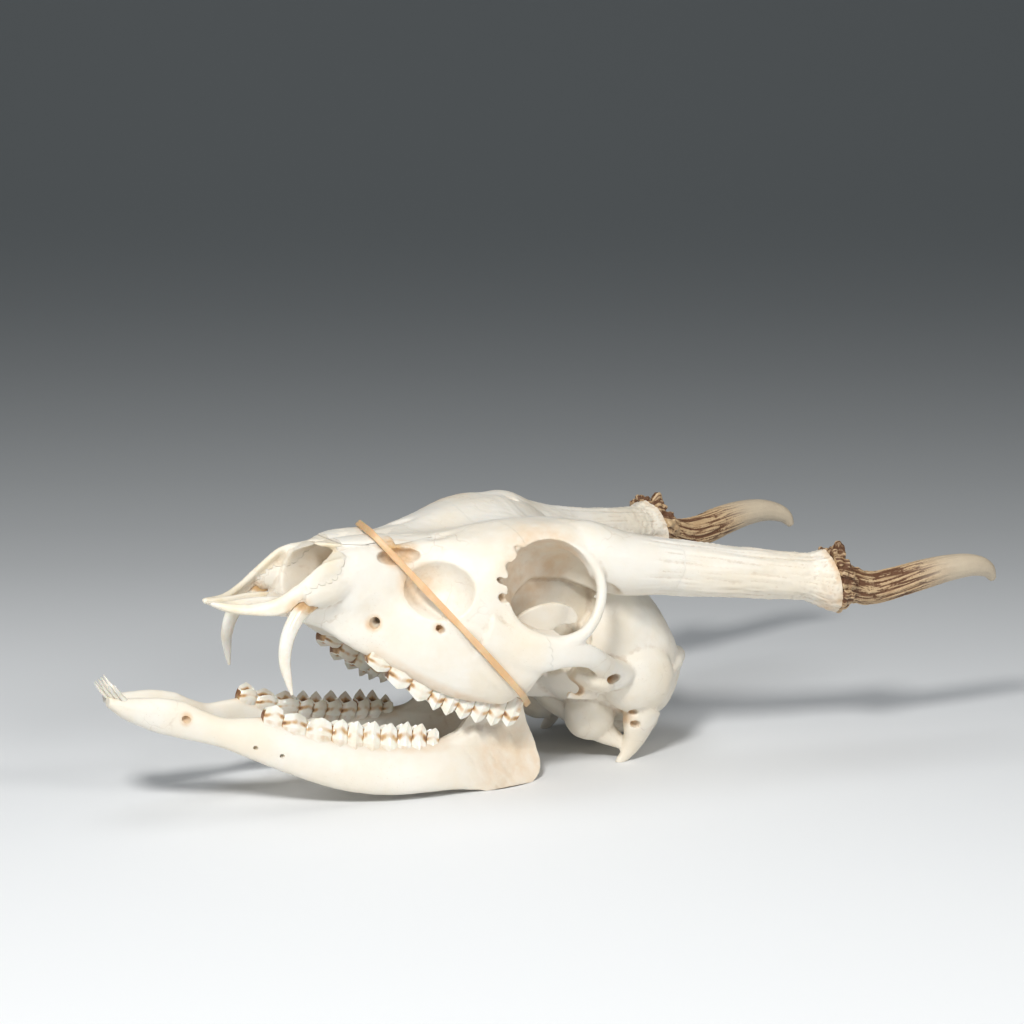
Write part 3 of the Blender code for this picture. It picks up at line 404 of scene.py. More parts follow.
def craniumShapes():
    face = halfProfileLoft((
        (-115, 25.0, 6, 24.5, 10.8, 23.0, 13.2, 16.0, 10.5, 7.0, 8.5),
        (-107, 31.6, 6, 31.2, 11.8, 30.4, 14.2, 21.0, 10.4, 7.2, 9.0),
        (-98, 35.8, 7, 35.0, 13.0, 32.6, 15.6, 19.0, 12.0, 5.0, 9.0),
        (-90, 39.4, 8, 39.0, 14.0, 35.4, 18.5, 16.0, 15.5, 3.8, 9.0),
        (-80, 43.4, 10, 44.6, 19.5, 40.5, 24.6, 18.5, 19.5, 2.5, 9.0),
        (-72, 47.0, 12, 50.0, 26.2, 43.6, 28.6, 23.0, 22.5, 1.5, 9.5),
        (-64, 51.2, 14, 54.8, 27.6, 50.3, 31.0, 26.0, 24.5, 1.8, 10.0),
        (-55, 55.2, 16.5, 58.8, 29.3, 54.4, 33.0, 26.0, 26.0, 4.0, 10.0),
        (-47, 57.5, 19, 61.3, 31.2, 55.4, 33.6, 24.0, 26.5, 8.0, 11.0),
    ))
    brow = halfProfileLoft((
        (-50, 57.0, 18, 60.6, 30.2, 55.2, 29.0, 50.0, 12.0, 44.0, 42.0),
        (-40, 57.5, 21, 62.0, 31.5, 56.0, 29.0, 49.0, 14.0, 42.0, 40.0),
        (-30, 57.0, 22, 61.0, 31.0, 57.0, 28.0, 49.0, 14.0, 42.0, 40.0),
    ))
    case = ovalLoft((
        (-42, 15.0, 17, 57), (-34, 20.0, 13, 57.5), (-26, 24.6, 10.5, 56.6), (-16, 26.2, 9.5, 54.0),
        (-5, 25.2, 9.0, 50.0), (3, 22.8, 9.8, 45.2), (9.5, 18.8, 11.6, 40.8), (14.5, 13.8, 14.6, 37.4),
        (17.8, 8.0, 18.6, 34.8),
    ))
    base = tube(((15, 0, 13.0), (5, 0, 10.0), (-4, 0, 9.0), (-14, 0, 9.6), (-28, 0, 13.5), (-44, 0, 17.0)),
                ((6, 4), (8, 4.4), (9, 4.6), (8, 4.2), (5, 4), (6, 6)))
    boss = ball((20.2, 0, 32.4), (2.8, 4.4, 4.0))
    core = ball((-44, 0, 35), (24, 20.5, 20.5))
    ring = tube(((-68.6, 26.6, 38), (-67.0, 25.8, 45.6), (-62.0, 26.4, 50.8), (-54.8, 28.2, 53.2),
                 (-47.2, 30.6, 53.2), (-41.2, 33.6, 49.0), (-39.0, 36.0, 42), (-40.0, 36.9, 34),
                 (-43.9, 36.4, 28.6), (-50, 34.4, 25.6), (-58, 31.8, 25.9), (-65.0, 29.0, 29.7)),
                ((1.7, 1.7), (1.6, 1.6), (1.6, 1.4), (1.6, 1.4), (1.8, 1.5), (1.7, 1.6), (1.5, 1.6), (1.6, 1.7),
                 (2.0, 2.2), (2.2, 2.4), (2.2, 2.4), (2.0, 2.0)), closed=True)
    arch = tube(((-72, 25.0, 19), (-62, 30.6, 20.6), (-52, 34.4, 22.0), (-44, 36.6, 24.8), (-36, 36.4, 26.0),
                 (-29, 34.0, 25.2), (-22, 30.0, 24.4), (-14, 25.5, 25)),
                ((2.0, 6.0), (2.3, 6.6), (2.4, 6.0), (2.0, 4.4), (1.9, 3.5), (2.2, 3.4), (2.8, 3.4), (3.5, 3.0)))
    # the cheek bone below the eye, down to the back of the tooth row
    cheek = curvedPlate((((-68, 22.5, 5.0), (-68, 26.6, 12.0), (-68, 29.4, 20.0), (-68, 29.4, 27.0)),
                         ((-60, 24.0, 3.8), (-60, 29.0, 11.0), (-60, 31.6, 18.0), (-60, 31.8, 25.0)),
                         ((-53.5, 25.6, 4.6), (-53, 30.4, 11.0), (-52.5, 33.4, 17.0), (-52.5, 34.4, 24.0)),
                         ((-50.2, 26.6, 6.6), (-49.2, 31.0, 11.6), (-48.2, 33.8, 17.0), (-47.0, 35.6, 25.0))),
                        (3.4, 3.6, 3.2, 2.2))
    glenoid = ball((-26, 26.5, 20.0), (7.5, 8.0, 3.4))
    sideWall = ball((-7, 22.5, 25), (13, 6.5, 11))
    bulla = ball((-12.0, 13.6, 9.6), (8.2, 6.6, 7.8))
    ear = tube(((-19, 20, 19.5), (-22.5, 26, 21.0), (-24.0, 30.2, 21.8)), (4.2, 3.8, 3.6))
    process = tube(((-0.5, 21.5, 17), (0.0, 22.0, 12), (0.8, 21.8, 7.5), (0.6, 21.3, 3.4), (-0.7, 20.9, -0.2),
                    (-1.3, 20.8, -1.4)),
                   ((5.0, 6.4), (3.4, 5.4), (2.2, 3.8), (1.6, 2.3), (1.2, 1.5), (1.0, 1.2)))
    web = tube(((-11, 13, 8.0), (-6.5, 15.6, 6.2), (-3.0, 18.4, 5.4), (-0.5, 20.4, 4.4)),
               ((4.5, 5.0), (3.0, 3.8), (1.8, 2.6), (1.0, 1.6)))
    # the thin edge of bone under the jaw joint
    shelf = tube(((-43, 25.4, 12.6), (-37, 27.0, 13.0), (-30, 27.6, 14.2), (-22, 26.0, 16.6)),
                 ((0.9, 1.3), (0.9, 1.4), (1.1, 1.6), (2.2, 2.2)))
    condyle = ball((11.6, 8.0, 14.6), (4.2, 4.4, 5.6), turn=-20)
    crest = tube(((-1, 23.4, 25), (7, 18.8, 31.8), (13.6, 10.6, 35.6), (19.0, 0.0, 36.0)), (2.2, 2.0, 1.9, 1.8))
    # bone over the root of the canine
    socket = tube(((-119.6, 13.8, 12.5), (-114.5, 13.2, 16.0), (-108, 12.4, 20.0), (-101, 11.2, 24)),
                  ((2.6, 3.0), (2.9, 3.9), (2.4, 3.6), (1.6, 2.0)))
    earRim = ball((-21.0, 26.8, 22.6), (9.6, 4.4, 4.9), turn=-17)
    wing = tube(((-47, 9.4, 13), (-39, 9.0, 11.5), (-30, 8.6, 12.5), (-23, 8.0, 13)),
                ((1.1, 6.0), (1.1, 5.2), (1.1, 4.0), (1.2, 2.6)))
    root = tube(((-52, 20, 53), (-42, 23.5, 53.5), (-31, 26.6, 54.4), (-18, 29.4, 58.0), (-6, 33.1, 61.4),
                 (10, 37.3, 66.2), (24, 41.8, 70.6), (30, 43.8, 72.3)),
                (7, 9.6, 9.4, 8.4, 7.8, 7.3, 7.0, 7.8), sides=36)
    rim = tube(((24, 42, 70.6), (29, 43.9, 72.2), (33.5, 44.6, 73.4)), (7.0, 9.0, 10.2), sides=36)
    premaxilla = curvedPlate((((-140.2, 2.0, 2.2), (-140.2, 1.9, 2.7), (-140.1, 1.8, 3.2)),
                              ((-137.6, 3.7, 2.0), (-137.4, 3.6, 3.0), (-137.0, 3.4, 4.0)),
                              ((-134.2, 6.0, 2.4), (-133.8, 5.9, 3.7), (-133.2, 5.5, 5.2)),
                              ((-130.0, 9.0, 3.8), (-129.8, 8.7, 5.4), (-129.4, 7.9, 7.2)),
                              ((-125.4, 11.6, 5.6), (-125.2, 11.7, 8.4), (-125.0, 10.6, 11.2)),
                              ((-121.6, 13.2, 8.6), (-121.0, 13.2, 13.4), (-120.4, 11.8, 18.0)),
                              ((-118.0, 13.8, 13.0), (-117.0, 13.4, 19.0), (-116.4, 11.8, 24.2)),
                              ((-110.0, 12.4, 19.0), (-109.6, 12.4, 24.0), (-109.4, 11.4, 28.6))),
                             (1.5, 2.1, 2.3, 2.1, 1.9, 1.9, 1.9, 1.7))
    floorBar = curvedPlate((((-140.0, 2.0, 2.0), (-139.8, 2.0, 2.6), (-139.6, 2.2, 3.2)),
                            ((-134, 4.6, 2.9), (-133.6, 2.6, 4.0), (-133.4, 2.4, 6.0)),
                            ((-126, 6.0, 4.8), (-126, 3.4, 5.8), (-126, 3.0, 9.4)),
                            ((-117, 6.4, 7.0), (-117, 4.0, 8.4), (-117, 3.6, 12.0)),
                            ((-106, 6.6, 8.0), (-106, 4.2, 9.6), (-106, 3.8, 13.0))), (1.4, 1.7, 1.7, 1.7, 1.7))
    nasal = tube(((-116.2, 1.3, 27.8), (-113, 2.2, 29.2), (-108.6, 3.8, 31.4), (-103, 4.8, 33.9), (-95, 5, 36.9)),
                 ((0.9, 0.5), (2.0, 0.9), (3.9, 1.2), (4.8, 1.4), (5.0, 1.5)))
    return [face, brow, case, base, boss, core] + mirrored(
        [ring, arch, cheek, glenoid, sideWall, bulla, ear, earRim, process, web, shelf, condyle, crest, wing, root, rim,
         premaxilla, floorBar, nasal, socket])


def craniumOpenings():
    nose = tube(((-128, 0, 18), (-116, 0, 19.5), (-104, 0, 22), (-94, 0, 24)),
                ((8.5, 7.0), (9.6, 8.6), (9.6, 8.6), (7.0, 6.0)))
    throat = tube(((-48, 0, 11), (-40, 0, 8.5), (-26, 0, 5.5)), ((7.2, 5.5), (7.6, 6.0), (6.8, 5.0)))
    brainDoor = ball((21, 0, 20.5), (10, 6.2, 5.8))
    radius = cranium["orbitRadius"]
    orbit = ball(cranium["orbit"], (radius, 19.5, radius), sides=48)
    innerOrbit = ball((-46.5, 24.2, 39.5), (15.5, 9.4, 13.0))
    temple = ball((-34.5, 29.6, 36.5), (9.5, 5.6, 13.6), turn=-10)
    underArch = ball((-39.5, 24.0, 16), (8.0, 10.0, 17))
    notch = slab(((-57, -9), (-57.5, 4), (-57, 14), (-56, 24), (-56, 32), (-50, 41), (-40, 44.5),
                  (-28, 44.5), (-25, 38), (-28, 30), (-29, 22), (-31.5, 16), (-32, 8), (-32, -9)), 13.2, 20.6)
    behind = slab(((-39, -9), (-39, 42), (-29, 42), (-27, 36), (-28, 22), (-31.5, 16), (-32, -9)), 15, 22.2)
    seat = slab(((-43, 22), (-39, 20.5), (-31, 20.5), (-27.6, 24), (-27.6, 31), (-32, 34), (-40, 34), (-43, 31)),
                11.8, 23.6)
    pit = ball(cranium["facePit"], (11.0, 12.0, 10.2), sides=48)
    slot = ball((-94.6, 13.6, 33.6), (7.0, 4.2, 2.3), turn=-22)
    earHole = ball((-22.4, 31.6, 22.2), (3.4, 4.6, 1.6), turn=-17)
    # the small holes: for nerves under the eye, behind the pit, over the eye, and along the base
    nerveHole = tube(((-92, 11, 15.4), (-95, 15.2, 13.6), (-99.5, 19.0, 12.2)), ((0.8, 1.2), (0.9, 1.4), (1.1, 1.7)))
    pitHole = ball((-79.6, 24, 18.5), (1.5, 3.4, 1.0), turn=20)
    browHole = ball((-44.5, 17.5, 60.5), (2.2, 1.3, 4.5), turn=25)
    tearHole = ball((-68.5, 27.5, 37.5), (2.6, 3.0, 1.0))
    baseHoles = [ball((-29.8, 28, 15.6), (2.2, 2.6, 1.6)), ball((-5.4, 24.5, 15.1), (1.5, 2.3, 1.1)),
                 ball((-2.7, 24, 11.8), (1.6, 2.3, 1.2)), ball((-36.5, 29, 18.0), (1.6, 3.0, 1.0))]
    notches = [ball((-67.2, 29.5, 33.0), (1.6, 3.4, 1.2), turn=20), ball((-67.9, 28.6, 42.0), (1.2, 3.2, 1.5)),
               ball((-66.6, 28.4, 47.9), (1.3, 3.0, 1.2), turn=-25), ball((-68.0, 28.6, 37.6), (1.0, 3.0, 1.0))]
    return [nose, throat, brainDoor] + mirrored(
        [orbit, innerOrbit, temple, underArch, notch, behind, seat, pit, slot, earHole,
         nerveHole, pitHole, browHole, tearHole] + baseHoles + notches)


def ribbon(outline, low, high, side=1, zigzag=0.0, width=None):
    # a thin wall along an x, z line that parts two bones, with small teeth as a real suture has
    width = cranium["sutureWidth"] if width is None else width
    line = smoothRows(outline, 12)
    along = np.gradient(line, axis=0)
    along /= np.linalg.norm(along, axis=1)[:, None]
    over = np.column_stack((-along[:, 1], along[:, 0]))
    if zigzag:
        run = np.concatenate(((0,), np.cumsum(np.linalg.norm(np.diff(line, axis=0), axis=1))))
        wave = np.sin(run * 2.6) + 0.6 * np.sin(run * 5.1 + 1.0)
        line = line + over * (wave * zigzag)[:, None]
    over = over * width / 2
    return slab(np.vstack((line + over, (line - over)[::-1])), low * side, high * side)


def sutures():
    zigzag = cranium["sutureZigzag"]
    snout = ribbon(((-124, 0.0), (-121.6, 6), (-120.2, 13.5), (-117.6, 17.5), (-112, 21.3), (-110.4, 26.5),
                    (-110.0, 32.15)), -30, 30, zigzag=zigzag)
    roof = ribbon(((-128, 24.2), (-118, 28.0), (-111, 30.6), (-104, 33.2), (-95, 35.8), (-87, 38.2),
                   (-84.0, 41.2), (-83.5, 52)), -9.8, 9.8)
    half = cranium["sutureWidth"] / 2
    between = slab(((-128, 24), (-118, 28), (-84, 38), (-83.6, 52), (-128, 52)), -half, half)
    below = slab(((-145, -3), (-124, -3), (-109.8, 24), (-109.8, 32), (-145, 32)), -half, half)
    beside = slab(((-105, 32.8), (-87, 38.0), (-83.6, 41.2), (-83.3, 52), (-105, 52)), 9.5, 9.5 + 2 * half)
    orbit = ribbon(((-75, 74), (-66, 52), (-54, 30), (-49.5, 23), (-46.2, 15.5), (-42.8, 8), (-38, -6)), -60, 60,
                   zigzag=zigzag, width=0.06)
    stalk = ribbon(((-13.6, 40), (-19.6, 78)), 15, 70, width=0.05)
    tall = ribbon(((-110.5, 25), (-110.0, 31), (-109.6, 38)), 9.6, 30)
    return [snout, roof, between, below, orbit] + mirrored([beside, stalk, tall])


def wornBone(piece):
    # the small unevenness of real bone, moved straight into the fine mesh
    points, normals = pointsOf(piece), normalsOf(piece)
    sides = bothSides(points)
    move = cranium["undulation"] * layered(points, 9.0, 3) * 0.5
    move += 0.05 * layered(points, 1.7, 11)
    for centre, radii, height in cranium["relief"]:
        away = np.linalg.norm((sides - centre) / np.array(radii, float), axis=1)
        move += height * fade(away, 0.1, 1.0)
    # long shallow grooves on the pedicles
    line = np.array(((-42, 23.5, 53.5), (-18, 29.4, 58.0), (10, 37.3, 66.2), (30, 43.8, 72.3)))
    near = fade(awayFromLine(sides, line), 8.5, 12.0) * fade(-points[:, 0], 18, 34)
    axis = (line[-1] - line[0]) / np.linalg.norm(line[-1] - line[0])
    flat = sides - np.outer((sides - line[0]) @ axis, axis) - line[0]
    turn = np.arctan2(flat[:, 2], flat[:, 1])
    run = (sides - line[0]) @ axis
    cords = np.column_stack((np.cos(turn) * 6, np.sin(turn) * 6, run / 14))
    move += near * (0.34 * softNoise(cords, 1.1, 5) + 0.2 * softNoise(cords, 0.5, 6))
    # rough muscle marks on the back of the braincase, and a pitted shelf under each burr
    rear = fade(-points[:, 0], -18, 2)
    move += rear * 0.16 * layered(points, 2.4, 21)
    shelf = fade(awayFromLine(sides, ((22, 41.5, 70), (33, 44.6, 73.2))), 10.5, 14) * fade(-points[:, 0], -24, -14)
    move -= shelf * 0.35 * np.abs(layered(points, 1.6, 31))
    setPoints(piece, points + normals * move[:, None])


def buildCranium():
    whole = meshObject("cranium", craniumShapes())
    fuse(whole, cranium["voxel"], cranium["softening"])
    openings = meshObject("openings", craniumOpenings())
    fuse(openings, cranium["openingVoxel"], 2)
    combine(whole, openings, "DIFFERENCE")
    whole = largestOf(whole)
    fuse(whole, cranium["voxel"], 2)
    wornBone(whole)
    cuts = [canine(grown=0.25), block(antler["burrCentre"], antler["burrAxis"], 0.5, 30, 16)]
    for cut in mirrored(cuts):
        combine(whole, meshObject("socket", [cut]), "DIFFERENCE")
    for cut in sutures():
        combine(whole, meshObject("suture", [cut]), "DIFFERENCE")
    return whole


def boneName(piece):
    x, y, z = pointsOf(piece).mean(axis=0)
    side = "left" if y < 0 else "right"
    if x < -119:
        return "premaxilla_" + side
    if x < -92 and z > 30:
        return "nasal_" + side
    if abs(y) > 20 and x > -10 and z > 50:
        return "pedicle_" + side
    return "face" if x < -60 else "braincase"


def stainSkull(piece):
    # where the bone is tan (stain at the gum line, and painted warm shade in the orbits, holes, nose and under the
    # burrs), where it is yellowed, and how deep its creases and hollows lie, which the material turns into painted
    # shade
    points = pointsOf(piece)
    sides = bothSides(points)
    fine, broad = hollows(piece)
    mottled = layered(points, 5.0, 41)
    tan = np.zeros(len(points))

    def spot(centre, near, far, strength=1.0):
        tan[:] = np.maximum(tan, strength * fade(np.linalg.norm((sides - centre), axis=1), near, far))

    deep = np.array(cranium["orbit"]) - (0, 9, 0)
    # painted warm shade deep inside each orbit
    inOrbit = fade(np.linalg.norm((sides - deep) / (1, 1.15, 1), axis=1), 14.5, 18.5) * fade(sides[:, 1], 27, 32)
    tan[:] = np.maximum(tan, 0.42 * inOrbit)
    # painted shade in the holes and pits of the face, in the canine socket and in the ear hole
    spot((-96, 16, 13.4), 1.6, 3.2, 0.8)
    spot((-79.6, 22.5, 18.5), 1.2, 3.0, 0.8)
    spot((-94.8, 12, 35.4), 3.5, 7.5, 0.9)
    spot((-86.5, 15.5, 28.5), 2.5, 8.5, 0.6)
    spot((-119, 14.4, 9.5), 3.2, 5.5, 0.5)
    spot((-23.6, 27.5, 22.3), 2.6, 5.0, 1.0)
    # painted shade on the porous shelf under each burr and along the burr's edge
    level = (sides - np.array(antler["burrCentre"])) @ (np.array(antler["burrAxis"]) / np.linalg.norm(antler["burrAxis"]))
    low = fade(sides[:, 2], 66, 75) * fade(-level, 2.0, 7.0) * fade(-sides[:, 0], -18, -8)
    edge = fade(-level, 0.2, 1.8) * fade(-sides[:, 0], -18, -8)
    tan[:] = np.maximum(tan, np.maximum(0.6 * low, 0.55 * edge) * (0.7 + 0.5 * mottled))
    # painted shade in the holes along the base and over the eye
    spot((-30, 26, 15.6), 2.0, 4.4, 0.8)
    spot((-4, 21, 13.5), 2.0, 4.5, 0.7)
    spot((-44.5, 17.5, 59), 1.2, 3.6, 0.5)
    # painted shade inside the nose
    inside = fade(awayFromLine(points, ((-122, 0, 19), (-96, 0, 24))), 6.5, 10.8)
    tan[:] = np.maximum(tan, 0.5 * inside * (0.6 + 0.4 * mottled))
    gum = fade(np.abs(points[:, 2] - (1.2 + 0.006 * (points[:, 0] + 66) ** 2) - 0.8), 0.6, 2.6)
    gum *= fade(np.abs(points[:, 0] + 68), 24, 28) * fade(np.abs(sides[:, 1] - 19), 7, 10)
    tan[:] = np.maximum(tan, 0.32 * gum)
    paint(piece, "tan", tan * (0.82 + 0.25 * mottled))
    # the depth of creases and hollows, which the material paints as shade
    paint(piece, "crease", 0.5 + fine * 9.0)
    paint(piece, "hollow", 0.5 + broad * 1.4)
    paint(piece, "yellow", 0.35 + 0.3 * layered(points, 16.0, 51) + 0.25 * fade(-points[:, 0], -6, 30))


# teeth

upperTeeth = {
    "lengths": (7.2, 7.2, 6.6, 8.6, 9.6, 9.4),
    "lobes": (1, 1, 1, 2, 2, 2),
    "widths": (6.0, 6.8, 7.4, 7.4, 6.8, 6.2),
    "front": (-92.5, 13.4),
    "back": (-44.2, 24.0),
}
lowerTeeth = {
    "lengths": (5.6, 7.0, 7.6, 9.2, 10.2, 13.0),
    "lobes": (1, 1, 1, 2, 2, 3),
    "widths": (4.2, 5.0, 5.6, 6.2, 6.4, 6.0),
    "front": (-53.6, 10.4),
    "back": (-0.6, 15.9),
}


def upperCusp(x, tooth):
    return -4.1 + 0.0085 * (x + 65) ** 2 - 0.2 * (tooth % 2)


def upperNeck(x):
    return 1.2 + 0.006 * (x + 66) ** 2


def lowerCusp(s, tooth):
    return (-0.2, -1.6, -2.0, -1.6, -1.0, 0.0)[tooth]


def lowerNeck(s):
    return -7.6 + 0.0042 * (s + 24) ** 2


def toothLobe(length, width, root, neck, cusp, outer, seed):
    # one column of a cheek tooth: a ribbed wall, a high pointed crescent outside, a lower one
    # inside, and a stained valley between. Gives its points, faces and how stained each point is.
    columns, wallRows, topRows = 48, 22, 9
    turns = np.arange(columns) * 2 * math.pi / columns
    c, s = np.cos(turns), np.sin(turns)
    along = np.sign(c) * np.abs(c) ** 0.62
    over = np.sign(s) * np.abs(s) ** 0.55
    onOuter = over * outer
    edge = np.abs(along)
    rib = np.exp(-(along / 0.15) ** 2) * 0.07 + np.exp(-((edge - 0.95) / 0.13) ** 2) * 0.13
    hollowed = np.exp(-((edge - 0.5) / 0.2) ** 2) * 0.05
    swell = np.where(onOuter > 0.2, rib - hollowed, 0.05 * (1 - edge ** 2))
    peak = 0.06 * math.sin(seed * 2.3)
    crest = np.where(onOuter > 0, 1.0 - 0.34 * np.abs(along - peak) ** 1.15, 0.74 - 0.20 * edge ** 1.3)
    crest = np.where(np.abs(over) < 0.35, 0.60, crest)
    rows, stains = [], []
    for k in range(wallRows):
        t = k / (wallRows - 1)
        bulge = 0.90 + 0.12 * math.sin(math.pi * min(1.0, t * 0.9 + 0.1)) - 0.05 * t ** 2
        lean = 1 - 0.14 * t * np.abs(over)
        wobble = 1 + 0.012 * math.sin(seed * 3.1 + k * 0.9) + 0.015 * np.sin(turns * 6 + seed)
        height = np.full(columns, root + (neck - root) * t * 4)
        if t >= 0.25:
            height = neck + (cusp - neck) * crest * (t - 0.25) / 0.75
        rows.append(np.column_stack((along * bulge * length / 2,
                                     over * (1 + swell) * bulge * lean * wobble * width / 2, height)))
        groove = 0.9 * fade(0.99 - edge, 0.0, 0.14) * fade(t, 0.86, 0.97)
        middle = 0.60 + 0.05 * math.sin(seed * 1.7) - 0.10 * edge
        bandOver = np.exp(-((t - middle) / 0.17) ** 2) * (0.34 + 0.5 * edge ** 2 + 0.12 * math.sin(seed * 2.9))
        atNeck = 0.3 * fade(t, 0.22, 0.30)
        stains.append(np.maximum(np.maximum(groove, bandOver), atNeck) * fade(t, 0.88, 0.98))
    rim = rows[-1]
    for k in range(1, topRows):
        t = k / topRows
        groove = 0.36 + 0.10 * np.cos(turns * 2)
        drop = crest * (1 - t) ** 1.7 + groove * (1 - (1 - t) ** 1.7)
        rows.append(np.column_stack((rim[:, 0] * (1 - t), rim[:, 1] * (1 - t), neck + (cusp - neck) * drop)))
        stains.append(np.full(columns, min(1.0, 2.6 * t - 0.25)))
    points, faces = skinRings(rows)
    return points, faces, np.concatenate(stains)


def toothRow(spec, cuspOf, neckOf, rootDepth, name):
    front, back = np.array(spec["front"], float), np.array(spec["back"], float)
    full = np.linalg.norm(back - front)
    run = (back - front) / full
    scale = full / sum(spec["lengths"])
    shapes, stains, done = [], [], 0.0
    for tooth, length in enumerate(spec["lengths"]):
        count = spec["lobes"][tooth]
        for lobe in range(count):
            size = length * scale / count
            middle = front + run * (done + size / 2)
            done += size
            along, cusp, neck = middle[0], cuspOf(middle[0], tooth), neckOf(middle[0])
            last = count == 3 and lobe == 2
            if last:
                cusp += np.sign(neck - cusp)
            points, faces, stain = toothLobe(size * (0.92 if last else 1.1), spec["widths"][tooth] * (0.72 if last else 1),
                                             neck + rootDepth, neck, cusp, 1, tooth * 3 + lobe)
            placed = np.column_stack((middle[0] + points[:, 0] * run[0] - points[:, 1] * run[1],
                                      middle[1] + points[:, 0] * run[1] + points[:, 1] * run[0], points[:, 2]))
            shapes.append((placed, faces))
            stains.append(stain)
    return shapes, np.concatenate(stains)


def finishTeeth(piece, stain):
    points = pointsOf(piece)
    streaks = layered(points * (1, 1, 0.45), 1.3, 61)
    paint(piece, "stain", np.clip(stain * (0.95 + 0.4 * streaks), 0, 1))


# the upper canines

canineTooth = {
    "path": ((-111.5, 12.4, 17.0), (-116.0, 13.6, 13.0), (-119.6, 14.8, 8.5), (-121.3, 16.4, 1.6),
             (-120.2, 17.4, -4.6), (-117.5, 18.2, -9.2), (-114.8, 18.9, -13.0)),
    "radii": ((1.5, 1.9), (1.7, 2.2), (1.8, 2.4), (1.6, 2.2), (1.3, 1.8), (0.9, 1.2), (0.35, 0.4)),
}


def canine(grown=0.0, sides=12, steps=4):
    path = np.array(canineTooth["path"], float)
    if grown:
        path[0] += (path[0] - path[1]) * 0.06
    return tube(path, [(a + grown, b + grown) for a, b in canineTooth["radii"]], sides=sides, steps=steps)


def buildCanine(side, name, material):
    points, faces = canine(sides=40, steps=16)
    piece = meshObject(name, [(points * (1, side, 1), faces)])
    spots = pointsOf(piece)
    paint(piece, "stain", fade(-spots[:, 2], -11.5, -7.5) * 0.45 + 0.12 * fade(-spots[:, 2], -7, 2))
    settle(piece, name + "_detailed", material, skullToScene)
    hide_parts(name)


# the lower jaw

jaw = {
    "voxel": 0.42,
    "softening": 4,
}


def jawLean(points):
    s, v, z = points.T
    slope = np.interp(s, (-90, -60, -20, 12), (0.0, 0.2, 0.36, 0.62))
    return np.column_stack((s, v + slope * np.clip(-5 - z, 0, None) - 0.03 * np.clip(s - 5, 0, None), z))


def jawPlaced(points, side):
    points = jawLean(points)
    if side > 0:
        swing = math.tan(math.radians(pose["farJawSwing"]))
        points = np.column_stack((points[:, 0], points[:, 1] + swing * (points[:, 0] - pose["chin"]), points[:, 2]))
    return jawToScene(points, side)


def jawShapes():
    rows = ((-97.6, 3.0, -7.6, -4.9, 2.0), (-92, 3.6, -10.6, -4.5, 2.7), (-84, 4.6, -12.8, -3.3, 2.8),
            (-76, 5.4, -13.8, -3.5, 2.7), (-70, 6.2, -14.2, -5.2, 2.6), (-64, 7.4, -14.7, -6.4, 2.7),
            (-58, 9.0, -16.0, -5.4, 3.0), (-52, 10.4, -17.4, -4.6, 3.4), (-44, 11.4, -19.2, -6.2, 3.8),
            (-34, 12.5, -21.0, -7.2, 4.2), (-24, 13.6, -21.7, -7.4, 4.4), (-14, 14.7, -20.9, -6.8, 4.6),
            (-4, 15.6, -18.9, -5.2, 4.3), (4, 15.8, -17.4, -3.0, 3.4), (12, 15.4, -16.9, 1.0, 2.5),
            (20, 15.0, -16.4, 2.0, 1.7), (28, 14.8, -12.5, -1.6, 1.1))
    angles = np.arange(36) * math.pi / 18
    body = [np.column_stack((np.full(36, s), v + np.cos(angles) * half,
                             (low + high) / 2 + np.sin(angles) * (high - low) / 2))
            for s, v, low, high, half in smoothRows(rows, 8)]
    outline = smoothRing(((0, -6), (5.5, -1), (9.0, 8), (11.5, 18), (13.5, 28), (18.5, 34.6), (26, 38.4),
                          (32, 38.8), (36.0, 36.6), (36.4, 33.8), (31.5, 32.4), (27.8, 29.4), (26.6, 25),
                          (30, 23.5), (31, 20), (26.6, 14), (24.6, 8.8), (27.0, 3), (30.8, -2.4), (33.0, -7.4),
                          (31.8, -11.8), (26.8, -15.4), (20, -17.3), (14, -17.0), (8, -16.1), (0, -16.5)), 8)
    plate = [np.column_stack((outline[:, 0], np.full(len(outline), v), outline[:, 1])) for v in (13.9, 16.0)]
    condyle = ball((29.8, 15.4, 22.8), (2.6, 3.3, 2.6))
    return [skinRings(body), skinRings(plate), condyle]


def jawHoles():
    return [ball((-75.4, 9.0, -7.8), (1.5, 2.6, 1.1), turn=10), ball((-55.5, 12.4, -12.7), (0.7, 2.0, 0.6)),
            ball((-48, 14.2, -13.8), (0.7, 2.0, 0.6))]


def incisors():
    shapes = []
    for i in range(4):
        root = np.array((-94.8 + 1.0 * i, 1.2 + 0.8 * i, -6.4 + 0.2 * i))
        tip = np.array((-101.6 + 1.35 * i, 1.2 + 1.9 * i, -1.6 + 0.3 * i))
        path = [root, root + (tip - root) * 0.55 + (0, 0, -0.5), root + (tip - root) * 0.85 + (0, 0, -0.3), tip]
        wide = 1.15 - 0.14 * i
        shapes.append(tube(path, ((0.7, 0.8), (0.7 * wide, 0.6), (wide, 0.42), (wide * 0.85, 0.14)), sides=20, steps=8))
    return shapes


